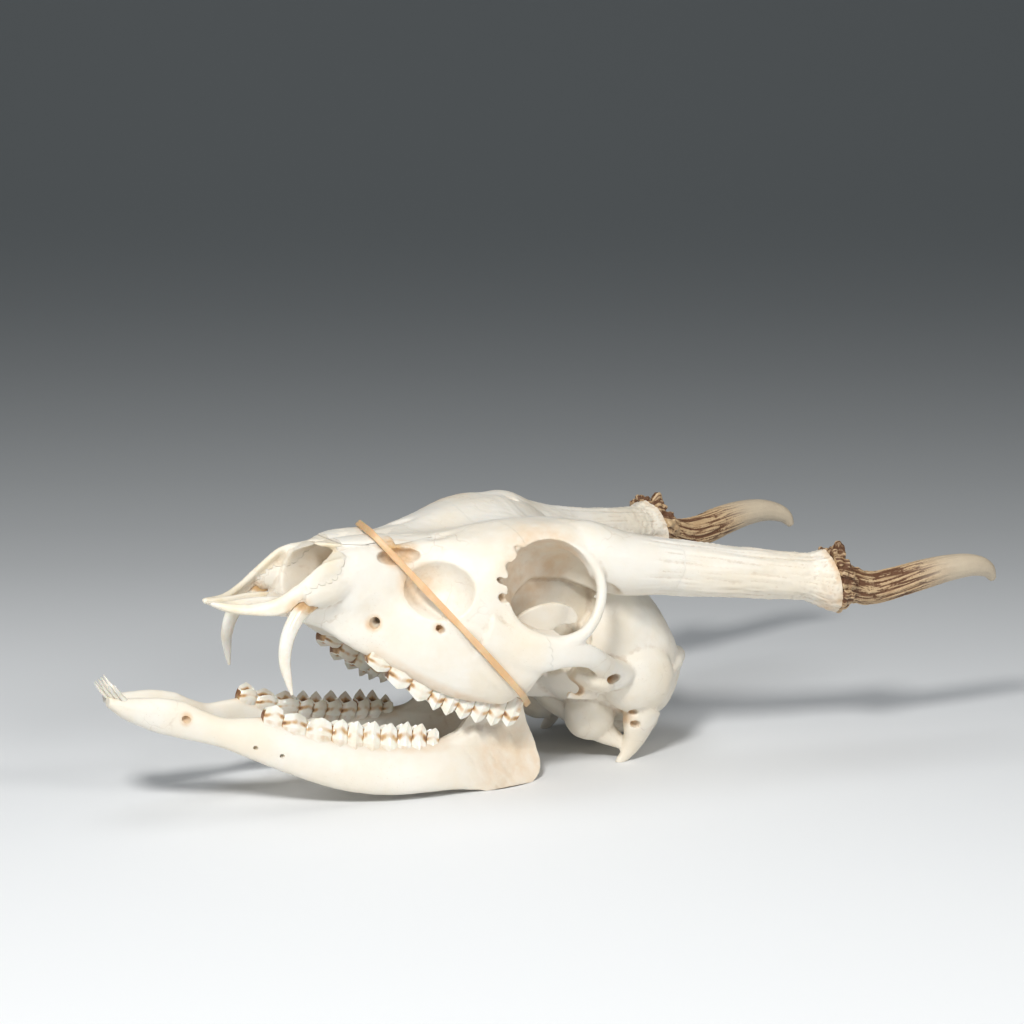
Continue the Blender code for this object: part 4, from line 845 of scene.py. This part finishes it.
def buildJawHalf(side, name, bone, enamel):
    half = meshObject(name, jawShapes())
    fuse(half, jaw["voxel"], jaw["softening"])
    combine(half, meshObject("holes", jawHoles()), "DIFFERENCE")
    half = largestOf(half)
    points, normals = pointsOf(half), normalsOf(half)
    move = 0.07 * layered(points, 7.0, 71) + 0.03 * layered(points, 1.6, 73)
    # a rough patch where the chewing muscle held on to the angle
    angle = fade(np.linalg.norm(points - (18, 15, -8), axis=1), 8, 18)
    streaks = np.column_stack((points[:, 0] + points[:, 2], points[:, 1], points[:, 2] - points[:, 0]))
    move += angle * 0.12 * softNoise(streaks, (1.6, 2, 7), 75)
    setPoints(half, points + normals * move[:, None])
    fine, broad = hollows(half)
    points = pointsOf(half)
    gum = fade(np.abs(points[:, 2] - lowerNeck(points[:, 0])), 0.8, 2.4) * fade(np.abs(points[:, 0] + 27), 27, 31)
    # tan: stain at the gum line, painted shade in the chin hole, and a tan patch at the angle
    tan = np.maximum(0.35 * gum, 0.7 * fade(np.linalg.norm(points - (-75.4, 7.2, -7.8), axis=1), 1.4, 2.6))
    tan = np.maximum(tan, 0.35 * fade(np.linalg.norm(points - (24, 15, -10), axis=1), 6, 18))
    paint(half, "tan", tan * (0.85 + 0.25 * layered(points, 4.0, 77)))
    # the depth of creases and hollows, which the material paints as shade
    paint(half, "crease", 0.5 + fine * 9.0)
    paint(half, "hollow", 0.5 + broad * 1.4)
    paint(half, "yellow", 0.35 + 0.3 * layered(points, 16.0, 79) + 0.3 * fade(-points[:, 0], -14, 10))
    teeth, stain = toothRow(lowerTeeth, lowerCusp, lowerNeck, -3.5, name)
    row = meshObject("lower_teeth", teeth)
    finishTeeth(row, stain)
    front = meshObject("incisors", incisors())
    spots = pointsOf(front)
    paint(front, "stain", 0.10 * fade(-spots[:, 0], 95.0, 98.0))
    word = "left" if side < 0 else "right"
    pieces = []
    for piece, label, material, slot in ((half, name + "_detailed", bone, "bone"), (row, "lower_teeth_" + word, enamel, "enamel"),
                                         (front, "incisors_" + word, enamel, "enamel")):
        settle(piece, label, material, lambda found: jawPlaced(found, side))
        if side < 0:
            piece.data.flip_normals()
        pieces.append(piece)
    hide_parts(name)
    return pieces


# the antlers

antler = {
    "burrCentre": (29.3, 44.8, 72.3),
    "burrAxis": (0.82, 0.18, 0.54),
    "burrRadius": 10.5,
    "tineFoot": (30.2, 44.8, 79.6),
    "tineAxis": (-0.42, -0.08, 0.90),
    "tineLength": 4.6,
    "tineRadii": (2.2, 2.3, 2.1, 0.9),
    "path": ((30.5, 44.7, 72.7), (36.5, 45.8, 73.2), (43.0, 47.2, 74.2), (50.0, 49.2, 78.3),
             (57.0, 51.6, 83.6), (64.0, 53.6, 88.4), (71.0, 54.8, 91.8), (77.0, 55.0, 92.6), (81.3, 54.8, 90.6)),
    "radii": (6.8, 5.6, 5.1, 4.8, 4.5, 4.0, 3.4, 2.6, 1.1),
    "voxel": 0.3,
    "pearls": 24,
    "flutes": 0.42,
}


def burrShapes():
    axis = np.array(antler["burrAxis"]) / np.linalg.norm(antler["burrAxis"])
    side = np.cross(axis, (0, 0, 1))
    side /= np.linalg.norm(side)
    up = np.cross(side, axis)
    path, radii, pearls = [], [], []
    for turn in np.arange(22) * 2 * math.pi / 22:
        lump = 0.7 * math.sin(3 * turn + 0.6) + 0.6 * math.sin(7 * turn)
        path.append(antler["burrCentre"] + axis * 2.4
                    + (side * math.cos(turn) + up * math.sin(turn)) * (antler["burrRadius"] - 3.4 + lump))
        radii.append((2.0 + 0.4 * math.sin(5 * turn), 1.9 + 0.3 * math.sin(8 * turn + 1)))
    for k in range(antler["pearls"]):
        turn = (k + 0.25 * math.sin(k * 2.3)) * 2 * math.pi / antler["pearls"]
        lump = 0.7 * math.sin(3 * turn + 0.6) + 0.6 * math.sin(7 * turn)
        for row, (height, out, size) in enumerate(((1.5, 1.3, 1.45), (3.9, 0.9, 1.3))):
            turned = turn + row * math.pi / antler["pearls"]
            size = size * (1 + 0.22 * math.sin(k * 3.7 + row))
            spot = (antler["burrCentre"] + axis * height
                    + (side * math.cos(turned) + up * math.sin(turned)) * (antler["burrRadius"] - 2.6 + lump + out - size / 2))
            pearls.append(ball(spot, (size, size, size), sides=12))
    ring = tube(path, radii, across=antler["burrAxis"], sides=16, steps=4, closed=True)
    return [ring] + pearls


def tineShape(grown=0.0):
    foot, axis, length = np.array(antler["tineFoot"]), np.array(antler["tineAxis"]), antler["tineLength"]
    path = [foot + axis * along for along in (-1.5 - grown, 0, length * 0.6, length + grown)]
    return tube(path, [radius + grown for radius in antler["tineRadii"]], steps=10)


def fluted(piece):
    # long furrows down the beam, pits and pearls nearer the burr, smooth towards the tip
    points, normals = pointsOf(piece), normalsOf(piece)
    sides = bothSides(points)
    path = smoothRows(antler["path"], 12)
    lengths = np.concatenate(((0,), np.cumsum(np.linalg.norm(np.diff(path, axis=0), axis=1))))
    nearest = np.empty(len(points), int)
    for start in range(0, len(points), 4000):
        chunk = sides[start:start + 4000]
        nearest[start:start + 4000] = np.linalg.norm(chunk[:, None] - path[None], axis=2).argmin(axis=1)
    forward = np.gradient(path, axis=0)
    forward /= np.linalg.norm(forward, axis=1)[:, None]
    out = sides - path[nearest]
    across = np.cross(forward, (0, 0, 1.0))
    across /= np.linalg.norm(across, axis=1)[:, None]
    over = np.cross(across, forward)
    turn = np.arctan2((out * over[nearest]).sum(axis=1), (out * across[nearest]).sum(axis=1))
    run = lengths[nearest]
    twisted = turn + run * 0.012
    cords = np.column_stack((np.cos(twisted) * 4.2, np.sin(twisted) * 4.2, run / 26))
    broad = softNoise(cords, 0.95, 81)
    thin = softNoise(cords * (1, 1, 1.6), 0.45, 83)
    furrow = np.clip(0.75 * (1 - np.abs(broad) * 3.0), 0, 1) + np.clip(0.7 * (1 - np.abs(thin) * 3.2), 0, 1)
    furrow = np.clip(furrow, 0, 1)
    tip = fade(run, 24, 42)
    knobs = np.clip(layered(points, 2.0, 85) * 1.4, -1, 1)
    nearBurr = fade(run, 5, 20)
    move = -antler["flutes"] * furrow * (0.25 + 0.75 * tip) + 0.22 * knobs * nearBurr * tip
    pits = np.clip(softNoise(points, 0.9, 87) - 0.25, 0, 1) * 0.35 * tip
    setPoints(piece, points + normals * (move - pits)[:, None])
    paint(piece, "furrow", np.clip(furrow * (0.35 + 0.75 * tip) + pits * 1.2, 0, 1))
    paint(piece, "smoothTip", 1 - tip)
    paint(piece, "burr", fade(run, 6, 13))


def buildAntler(side, words, material):
    def onSide(shape):
        return shape[0] * (1, side, 1), shape[1]

    whole = meshObject("antler", [onSide(shape) for shape in burrShapes()
                                  + [tube(antler["path"], antler["radii"], sides=48, steps=12)]])
    tine = meshObject("tine", [onSide(tineShape())])
    fuse(whole, antler["voxel"], 2)
    fuse(tine, antler["voxel"], 2)
    fluted(whole)
    fluted(tine)
    for cut in (block(antler["burrCentre"], antler["burrAxis"], -30, 0.55, 16), tineShape(grown=0.1)):
        combine(whole, meshObject("cut", [onSide(cut)]), "DIFFERENCE")
    for piece, word in zip((largestOf(whole), tine), words):
        fine = hollows(piece, (3,))[0]
        paint(piece, "crease", 0.5 + fine * 3.0)
        settle(piece, word + "_detailed", material, skullToScene)
        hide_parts(word)


# the rubber band

band = {
    "overSnout": (-77.5, 0.0, 79.0),
    "besideCheek": (-57.9, -29.5, 48.2),
    "behindJaw": (-34.2, -18.5, 24.5),
    "width": 1.95,
    "thickness": 0.95,
    "clearance": 0.12,
}


def crossing(pieces, across, middle):
    found = []
    for piece in pieces:
        points = pointsOf(piece) / mm
        ends = np.empty(len(piece.data.edges) * 2, np.int32)
        piece.data.edges.foreach_get("vertices", ends)
        ends = ends.reshape(-1, 2)
        height = (points - middle) @ across
        first, second = height[ends[:, 0]], height[ends[:, 1]]
        over = (first > 0) != (second > 0)
        ends, first, second = ends[over], first[over], second[over]
        share = (first / (first - second))[:, None]
        found.append(points[ends[:, 0]] * (1 - share) + points[ends[:, 1]] * share)
    return np.vstack(found)


def convexOutline(flat):
    flat = flat[np.lexsort((flat[:, 1], flat[:, 0]))]
    halves = []
    for ordered in (flat, flat[::-1]):
        chain = []
        for point in ordered:
            while len(chain) > 1:
                a, b = chain[-1] - chain[-2], point - chain[-1]
                if a[0] * b[1] - a[1] * b[0] > 0:
                    break
                chain.pop()
            chain.append(point)
        halves += chain[:-1]
    return np.array(halves)


def buildBand(pieces, material):
    top, cheek, behind = (np.array(band[key]) - (*pose["centre"], 0.0) for key in ("overSnout", "besideCheek", "behindJaw"))
    across = np.cross(cheek - top, behind - top)
    across /= np.linalg.norm(across)
    down = (behind - top) / np.linalg.norm(behind - top)
    sideways = np.cross(across, down)
    found = np.vstack([crossing(pieces, across, top + across * band["width"] * t) for t in (-0.6, -0.3, 0, 0.3, 0.6)])
    flat = np.column_stack(((found - top) @ down, (found - top) @ sideways))
    flat = flat[flat[:, 0] < np.linalg.norm(behind - top) + 9]
    reach = band["clearance"] + band["thickness"] / 2
    hull = convexOutline(flat)
    wide = convexOutline(np.vstack([hull + (math.cos(t) * reach, math.sin(t) * reach)
                                    for t in np.arange(24) * math.pi / 12]))
    looped = np.vstack((wide, wide[:1]))
    run = np.concatenate(((0,), np.cumsum(np.linalg.norm(np.diff(looped, axis=0), axis=1))))
    places = np.linspace(0, run[-1], 301)[:-1]
    path = np.column_stack((np.interp(places, run, looped[:, 0]), np.interp(places, run, looped[:, 1])))
    for turn in range(4):
        path = (np.roll(path, 1, 0) + path * 2 + np.roll(path, -1, 0)) / 4
    path = top + np.outer(path[:, 0], down) + np.outer(path[:, 1], sideways)
    stretch = 1 + 0.05 * np.sin(places * 0.21) + 0.03 * np.sin(places * 0.53 + 2)
    radii = [(band["width"] / 2 * k, band["thickness"] / 2 * (2 - k)) for k in stretch]
    angles = np.arange(16) * math.pi / 8
    tangents = np.roll(path, -1, 0) - np.roll(path, 1, 0)
    tangents /= np.linalg.norm(tangents, axis=1)[:, None]
    rings = []
    for point, forward, (wideHalf, thickHalf) in zip(path, tangents, radii):
        out = np.cross(across, forward)
        flatCos = np.sign(np.cos(angles)) * np.abs(np.cos(angles)) ** 0.45
        flatSin = np.sign(np.sin(angles)) * np.abs(np.sin(angles)) ** 0.45
        rings.append(point + np.outer(flatCos * wideHalf, across) + np.outer(flatSin * thickHalf, out))
    piece = meshObject("rubber_band", [skinRings(rings, closed=True)])
    settle(piece, "rubber_band_detailed", material, lambda points: points)
    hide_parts("rubber_band")


# node groups

def newGroup(name, inputs, outputs):
    group = bpy.data.node_groups.new(name, "ShaderNodeTree")
    for label, kind, value in inputs:
        socket = group.interface.new_socket(name=label, in_out="INPUT", socket_type=kind)
        socket.default_value = value
    for label, kind in outputs:
        group.interface.new_socket(name=label, in_out="OUTPUT", socket_type=kind)
    return group, group.nodes.new("NodeGroupInput"), group.nodes.new("NodeGroupOutput")


def math2(tree, operation, first, second=None, clamp=False):
    node = tree.nodes.new("ShaderNodeMath")
    node.operation = operation
    node.use_clamp = clamp
    for socket, value in zip(node.inputs, (first, second)):
        if value is None:
            continue
        if isinstance(value, (int, float)):
            socket.default_value = value
        else:
            tree.links.new(value, socket)
    return node.outputs[0]


def mixColour(tree, factor, first, second, blend="MIX"):
    node = tree.nodes.new("ShaderNodeMix")
    node.data_type = "RGBA"
    node.blend_type = blend
    for label, value in (("Factor", factor), ("A", first), ("B", second)):
        socket = next(s for s in node.inputs if s.name == label and s.enabled and (label != "Factor" or s.type == "VALUE"))
        if isinstance(value, (int, float, tuple)):
            socket.default_value = value
        else:
            tree.links.new(value, socket)
    return next(s for s in node.outputs if s.enabled and s.type == "RGBA")


def ramp(tree, value, low, high):
    node = tree.nodes.new("ShaderNodeMapRange")
    node.interpolation_type = "SMOOTHSTEP"
    node.inputs["From Min"].default_value = low
    node.inputs["From Max"].default_value = high
    tree.links.new(value, node.inputs["Value"])
    return node.outputs["Result"]


def noise(tree, place, scale, detail=4.0, rough=0.55, distortion=0.0):
    node = tree.nodes.new("ShaderNodeTexNoise")
    node.inputs["Scale"].default_value = scale
    node.inputs["Detail"].default_value = detail
    node.inputs["Roughness"].default_value = rough
    node.inputs["Distortion"].default_value = distortion
    tree.links.new(place, node.inputs["Vector"])
    return node.outputs["Fac"]


def poresGroup():
    # fine open pores, hair cracks and grain: a mask of pores and a height for the bump
    group, given, out = newGroup("boneSurface", (
        ("Pore Scale", "NodeSocketFloat", 900.0), ("Crack Scale", "NodeSocketFloat", 160.0),
        ("Grain", "NodeSocketFloat", 0.4)),
        (("Pores", "NodeSocketFloat"), ("Cracks", "NodeSocketFloat"), ("Height", "NodeSocketFloat")))
    where = group.nodes.new("ShaderNodeTexCoord").outputs["Object"]
    pores = group.nodes.new("ShaderNodeTexVoronoi")
    pores.feature = "F1"
    group.links.new(where, pores.inputs["Vector"])
    group.links.new(given.outputs["Pore Scale"], pores.inputs["Scale"])
    poreMask = math2(group, "SUBTRACT", 1.0, ramp(group, pores.outputs["Distance"], 0.06, 0.22))
    patches = ramp(group, noise(group, where, 70.0), 0.50, 0.66)
    poreMask = math2(group, "MULTIPLY", poreMask, patches)
    cracks = group.nodes.new("ShaderNodeTexVoronoi")
    cracks.feature = "DISTANCE_TO_EDGE"
    bent = group.nodes.new("ShaderNodeVectorMath")
    bent.operation = "ADD"
    twist = group.nodes.new("ShaderNodeTexNoise")
    twist.inputs["Scale"].default_value = 220.0
    group.links.new(where, twist.inputs["Vector"])
    shrink = group.nodes.new("ShaderNodeVectorMath")
    shrink.operation = "SCALE"
    shrink.inputs["Scale"].default_value = 0.006
    group.links.new(twist.outputs["Color"], shrink.inputs[0])
    group.links.new(where, bent.inputs[0])
    group.links.new(shrink.outputs[0], bent.inputs[1])
    group.links.new(bent.outputs[0], cracks.inputs["Vector"])
    group.links.new(given.outputs["Crack Scale"], cracks.inputs["Scale"])
    crackMask = math2(group, "SUBTRACT", 1.0, ramp(group, cracks.outputs["Distance"], 0.0, 0.035))
    crackMask = math2(group, "MULTIPLY", crackMask, ramp(group, noise(group, where, 45.0), 0.55, 0.68))
    grain = noise(group, where, 1500.0, 3.0)
    height = math2(group, "MULTIPLY", grain, given.outputs["Grain"])
    height = math2(group, "SUBTRACT", height, math2(group, "MULTIPLY", poreMask, 0.9))
    height = math2(group, "SUBTRACT", height, math2(group, "MULTIPLY", crackMask, 0.7))
    group.links.new(poreMask, out.inputs["Pores"])
    group.links.new(crackMask, out.inputs["Cracks"])
    group.links.new(height, out.inputs["Height"])
    return group


def mottleGroup():
    # slow patches of warmer and paler colour
    group, given, out = newGroup("mottle", (
        ("Scale", "NodeSocketFloat", 60.0), ("Pale", "NodeSocketColor", (0.9, 0.87, 0.8, 1)),
        ("Warm", "NodeSocketColor", (0.8, 0.7, 0.52, 1)), ("Warmth", "NodeSocketFloat", 0.5)),
        (("Color", "NodeSocketColor"), ("Mask", "NodeSocketFloat")))
    where = group.nodes.new("ShaderNodeTexCoord").outputs["Object"]
    node = group.nodes.new("ShaderNodeTexNoise")
    node.inputs["Detail"].default_value = 6.0
    node.inputs["Roughness"].default_value = 0.62
    group.links.new(where, node.inputs["Vector"])
    group.links.new(given.outputs["Scale"], node.inputs["Scale"])
    patch = ramp(group, node.outputs["Fac"], 0.36, 0.68)
    mask = math2(group, "MULTIPLY", math2(group, "ADD", patch, given.outputs["Warmth"]), 0.62, clamp=True)
    group.links.new(mixColour(group, mask, given.outputs["Pale"], given.outputs["Warm"]), out.inputs["Color"])
    group.links.new(mask, out.inputs["Mask"])
    return group


def newMaterial(name, roughness, **values):
    made = bpy.data.materials.new(name)
    made.use_nodes = True
    shader = made.node_tree.nodes["Principled BSDF"]
    shader.inputs["Roughness"].default_value = roughness
    for label, value in values.items():
        shader.inputs[label.replace("_", " ")].default_value = value
    return made, made.node_tree, shader


def attribute(tree, name):
    node = tree.nodes.new("ShaderNodeAttribute")
    node.attribute_name = name
    return node.outputs["Fac"]


def place(tree, group, **values):
    node = tree.nodes.new("ShaderNodeGroup")
    node.node_tree = group
    for label, value in values.items():
        node.inputs[label.replace("_", " ")].default_value = value
    return node


def addBump(tree, shader, height, strength, distance):
    bump = tree.nodes.new("ShaderNodeBump")
    bump.inputs["Strength"].default_value = strength
    bump.inputs["Distance"].default_value = distance
    tree.links.new(height, bump.inputs["Height"])
    tree.links.new(bump.outputs["Normal"], shader.inputs["Normal"])


boneLook = {
    "pale": (0.84, 0.815, 0.755, 1),
    "warm": (0.80, 0.725, 0.60, 1),
    "yellowed": (0.80, 0.67, 0.44, 1),
    # tan is for stains and painted warm shade; the dark colour is for pores, cracks and painted shade in creases and
    # hollows
    "tan": (0.68, 0.42, 0.19, 1),
    "dirtAndShade": (0.42, 0.28, 0.16, 1),
    "roughness": 0.46,
}


def boneMaterial(name, surface, mottle, yellowing):
    made, tree, shader = newMaterial(name, boneLook["roughness"], Subsurface_Weight=0.12, Subsurface_Scale=0.003,
                                     Subsurface_Radius=(1.0, 0.75, 0.55))
    base = place(tree, mottle, Scale=55.0, Pale=boneLook["pale"], Warm=boneLook["warm"])
    tree.links.new(attribute(tree, "yellow"), base.inputs["Warmth"])
    skin = place(tree, surface, Pore_Scale=1100.0, Crack_Scale=110.0, Grain=0.35)
    where = tree.nodes.new("ShaderNodeTexCoord").outputs["Object"]
    aged = math2(tree, "MULTIPLY", ramp(tree, noise(tree, where, 95.0, 5.0), 0.35, 0.75), yellowing)
    colour = mixColour(tree, aged, base.outputs["Color"], boneLook["yellowed"])
    # tan: real stain, and painted warm shade in the orbits, holes and nose
    tan = math2(tree, "MULTIPLY", attribute(tree, "tan"),
                math2(tree, "ADD", ramp(tree, noise(tree, where, 260.0, 5.0), 0.2, 0.7), 0.35), clamp=True)
    colour = mixColour(tree, tan, colour, boneLook["tan"])
    # painted shade in creases and hollows, mixed towards the dark colour; the same mask also makes them rougher
    crease = ramp(tree, attribute(tree, "crease"), 0.62, 0.95)
    hollow = ramp(tree, attribute(tree, "hollow"), 0.66, 1.0)
    creaseShade = math2(tree, "MULTIPLY", math2(tree, "ADD", math2(tree, "MULTIPLY", crease, 0.34),
                                          math2(tree, "MULTIPLY", hollow, 0.2)),
                  ramp(tree, noise(tree, where, 300.0, 5.0), 0.2, 0.8), clamp=True)
    colour = mixColour(tree, creaseShade, colour, boneLook["dirtAndShade"])
    specks = math2(tree, "MULTIPLY", math2(tree, "ADD", skin.outputs["Pores"], skin.outputs["Cracks"]), 0.2, clamp=True)
    colour = mixColour(tree, specks, colour, boneLook["dirtAndShade"])
    tree.links.new(colour, shader.inputs["Base Color"])
    rough = math2(tree, "ADD", math2(tree, "MULTIPLY", noise(tree, where, 180.0), 0.22),
                  math2(tree, "ADD", math2(tree, "MULTIPLY", creaseShade, 0.3), 0.34), clamp=True)
    tree.links.new(rough, shader.inputs["Roughness"])
    addBump(tree, shader, skin.outputs["Height"], 0.35, 0.0003)
    return made


enamelLook = {
    "white": (0.88, 0.86, 0.80, 1),
    "cream": (0.80, 0.72, 0.56, 1),
    "amber": (0.60, 0.38, 0.18, 1),
    "stain": (0.23, 0.105, 0.045, 1),
}


def enamelMaterial(name, mottle):
    made, tree, shader = newMaterial(name, 0.2, Coat_Weight=0.3, Coat_Roughness=0.12, Subsurface_Weight=0.1,
                                     Subsurface_Scale=0.002)
    base = place(tree, mottle, Scale=240.0, Pale=enamelLook["white"], Warm=enamelLook["cream"], Warmth=0.1)
    where = tree.nodes.new("ShaderNodeTexCoord").outputs["Object"]
    patchy = ramp(tree, noise(tree, where, 520.0, 5.0), 0.25, 0.7)
    stained = math2(tree, "MULTIPLY", ramp(tree, attribute(tree, "stain"), 0.06, 0.95),
                    math2(tree, "ADD", math2(tree, "MULTIPLY", patchy, 0.5), 0.62), clamp=True)
    amber = mixColour(tree, ramp(tree, stained, 0.0, 0.5), base.outputs["Color"], enamelLook["amber"])
    colour = mixColour(tree, ramp(tree, stained, 0.4, 0.95), amber, enamelLook["stain"])
    tree.links.new(colour, shader.inputs["Base Color"])
    tree.links.new(math2(tree, "ADD", math2(tree, "MULTIPLY", stained, 0.35), 0.18), shader.inputs["Roughness"])
    addBump(tree, shader, noise(tree, where, 1400.0, 3.0), 0.15, 0.0002)
    return made


antlerLook = {
    "ridge": (0.56, 0.40, 0.23, 1),
    "brown": (0.32, 0.175, 0.08, 1),
    "furrow": (0.12, 0.050, 0.020, 1),
    "tip": (0.55, 0.48, 0.37, 1),
}


def antlerMaterial(name, surface, mottle):
    made, tree, shader = newMaterial(name, 0.5)
    where = tree.nodes.new("ShaderNodeTexCoord").outputs["Object"]
    base = place(tree, mottle, Scale=190.0, Pale=antlerLook["ridge"], Warm=antlerLook["brown"], Warmth=0.1)
    furrow = ramp(tree, attribute(tree, "furrow"), 0.25, 0.8)
    colour = mixColour(tree, furrow, base.outputs["Color"], antlerLook["furrow"])
    crease = ramp(tree, attribute(tree, "crease"), 0.52, 0.85)
    colour = mixColour(tree, math2(tree, "MULTIPLY", crease, 0.8), colour, antlerLook["furrow"])
    worn = ramp(tree, math2(tree, "SUBTRACT", 1.0, attribute(tree, "crease")), 0.56, 0.9)
    colour = mixColour(tree, math2(tree, "MULTIPLY", worn, 0.7), colour, antlerLook["ridge"])
    colour = mixColour(tree, math2(tree, "MULTIPLY", attribute(tree, "smoothTip"), 0.8), colour, antlerLook["tip"])
    tree.links.new(colour, shader.inputs["Base Color"])
    skin = place(tree, surface, Pore_Scale=900.0, Crack_Scale=300.0, Grain=0.6)
    tree.links.new(math2(tree, "ADD", math2(tree, "MULTIPLY", furrow, 0.25), 0.42), shader.inputs["Roughness"])
    addBump(tree, shader, skin.outputs["Height"], 0.5, 0.0003)
    return made


rubberLook = {
    "amber": (0.68, 0.42, 0.20, 1),
    "dusty": (0.76, 0.58, 0.38, 1),
}


def rubberMaterial(name, mottle):
    made, tree, shader = newMaterial(name, 0.42, Subsurface_Weight=0.35, Subsurface_Scale=0.002)
    where = tree.nodes.new("ShaderNodeTexCoord").outputs["Object"]
    base = place(tree, mottle, Scale=120.0, Pale=rubberLook["amber"], Warm=rubberLook["dusty"], Warmth=0.2)
    tree.links.new(base.outputs["Color"], shader.inputs["Base Color"])
    tree.links.new(math2(tree, "ADD", math2(tree, "MULTIPLY", noise(tree, where, 700.0), 0.25), 0.3),
                   shader.inputs["Roughness"])
    addBump(tree, shader, noise(tree, where, 2200.0, 4.0), 0.25, 0.0002)
    return made


# floor, backdrop, light and camera

studio = {
    "floorHeight": -0.00005,
    "sweepStart": 0.24,
    "sweepRadius": 0.9,
    # the paper near the camera, and the painted shade it darkens to far away
    "floorColour": (0.86, 0.875, 0.89, 1),
    "farShadeColour": (0.085, 0.095, 0.10, 1),
    "keyPower": 12.5,
    "sidePower": 3.6,
    "topPower": 3.0,
}
lens = {
    "place": (-0.5665, -0.8659, 0.3087),
    "azimuth": 32.0,
    "tilt": 12.9,
    "length": 125.5,
}


def buildStage():
    angle = math.radians(lens["azimuth"])
    away, across = np.array((math.sin(angle), math.cos(angle))), np.array((math.cos(angle), -math.sin(angle)))
    profile = [(-2.4, 0.0)] + [(t, 0.0) for t in np.linspace(-0.6, studio["sweepStart"], 8)]
    radius = studio["sweepRadius"]
    profile += [(studio["sweepStart"] + radius * math.sin(t), radius * (1 - math.cos(t)))
                for t in np.linspace(0.06, math.pi / 2, 24)]
    profile.append((profile[-1][0], profile[-1][1] + 1.6))
    points, faces = [], []
    widths = np.linspace(-2.4, 2.4, 9)
    for depth, height in profile:
        for w in widths:
            x, y = away * depth + across * w
            points.append((x, y, height + studio["floorHeight"]))
    for i in range(len(profile) - 1):
        for j in range(len(widths) - 1):
            a = i * len(widths) + j
            faces.append((a, a + 1, a + len(widths) + 1, a + len(widths)))
    mesh = bpy.data.meshes.new("floor")
    mesh.from_pydata(points, [], faces)
    floor = bpy.data.objects.new("floor", mesh)
    bpy.context.scene.collection.objects.link(floor)
    mesh.shade_smooth()
    made, tree, shader = newMaterial("studio paper", 0.75)
    where = tree.nodes.new("ShaderNodeTexCoord").outputs["Object"]
    split = tree.nodes.new("ShaderNodeSeparateXYZ")
    tree.links.new(where, split.inputs[0])
    depth = math2(tree, "ADD", math2(tree, "MULTIPLY", split.outputs["X"], float(away[0])),
                  math2(tree, "MULTIPLY", split.outputs["Y"], float(away[1])))
    # painted falloff of the light: the paper darkens with distance from the camera
    paintedFalloff = ramp(tree, depth, -0.16, 0.62)
    colour = mixColour(tree, paintedFalloff, studio["floorColour"], studio["farShadeColour"])
    tree.links.new(colour, shader.inputs["Base Color"])
    mesh.materials.append(made)


def addLight(name, spot, target, size, power, colour=(1, 1, 1)):
    data = bpy.data.lights.new(name, "AREA")
    data.shape = "DISK"
    data.size = size
    data.energy = power
    data.color = colour
    lamp = bpy.data.objects.new(name, data)
    lamp.location = spot
    lamp.rotation_euler = (Vector(target) - Vector(spot)).to_track_quat("-Z", "Y").to_euler()
    bpy.context.scene.collection.objects.link(lamp)


def buildLights():
    world = bpy.data.worlds.new("studio")
    world.use_nodes = True
    world.node_tree.nodes["Background"].inputs["Color"].default_value = (0.80, 0.86, 0.92, 1)
    world.node_tree.nodes["Background"].inputs["Strength"].default_value = 0.22
    bpy.context.scene.world = world
    addLight("key", (-0.70, -0.64, 0.92), (-0.01, 0, 0.04), 0.24, studio["keyPower"], (1.0, 0.985, 0.955))
    addLight("top", (-0.1, 0.25, 1.2), (0, 0, 0.03), 0.8, studio["topPower"], (0.97, 0.985, 1.0))
    addLight("side", (0.22, -1.05, 0.66), (-0.02, 0, 0.03), 0.3, studio["sidePower"], (1.0, 0.99, 0.97))
    bpy.context.scene.view_settings.view_transform = "Standard"


def buildCamera():
    data = bpy.data.cameras.new("camera")
    data.lens = lens["length"]
    data.sensor_width = 36
    data.clip_start = 0.02
    data.clip_end = 20
    camera = bpy.data.objects.new("camera", data)
    camera.location = np.array(lens["place"]) - np.array((*pose["centre"], 0.0)) * mm
    a, p = math.radians(lens["azimuth"]), math.radians(lens["tilt"])
    forward = Vector((math.sin(a) * math.cos(p), math.cos(a) * math.cos(p), -math.sin(p)))
    camera.rotation_euler = forward.to_track_quat("-Z", "Y").to_euler()
    bpy.context.scene.collection.objects.link(camera)
    bpy.context.scene.camera = camera


buildCamera()
buildStage()
buildLights()
print("camera, floor and lights ready")

surface, mottle = poresGroup(), mottleGroup()
bleached = boneMaterial("bleached bone", surface, mottle, 0.12)
yellowed = boneMaterial("yellowed bone", surface, mottle, 0.85)
enamel = enamelMaterial("enamel", mottle)
horn = antlerMaterial("antler", surface, mottle)
rubber = rubberMaterial("tan rubber", mottle)
print("materials ready")

snug = []
for found in loosePieces(buildCranium()):
    name = boneName(found)
    if len(found.data.vertices) < 1500 or name + "_detailed" in bpy.data.objects:
        print("dropped a crumb of", name, len(found.data.vertices))
        bpy.data.objects.remove(found, do_unlink=True)
        continue
    stainSkull(found)
    settle(found, name + "_detailed", yellowed if name.startswith("premaxilla") else bleached, skullToScene)
    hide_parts(name)
    snug.append(found)
print("cranium ready:", len(snug), "bones")

for side, word in ((-1, "left"), (1, "right")):
    shapes, stain = toothRow(upperTeeth, upperCusp, upperNeck, 4.0, "upper")
    row = meshObject("upper_teeth", [(points * (1, side, 1), faces) for points, faces in shapes])
    finishTeeth(row, stain)
    settle(row, "upper_teeth_" + word, enamel, skullToScene)
    buildCanine(side, "canine_" + word, enamel)
    buildAntler(side, ("antler_" + word, "brow_tine_" + word), horn)
    snug += buildJawHalf(side, "mandible_" + word, bleached, enamel)
print("teeth, antlers and lower jaw ready")

buildBand([piece for piece in snug if not piece.name.startswith(("pedicle", "premaxilla"))], rubber)
print("rubber band ready")
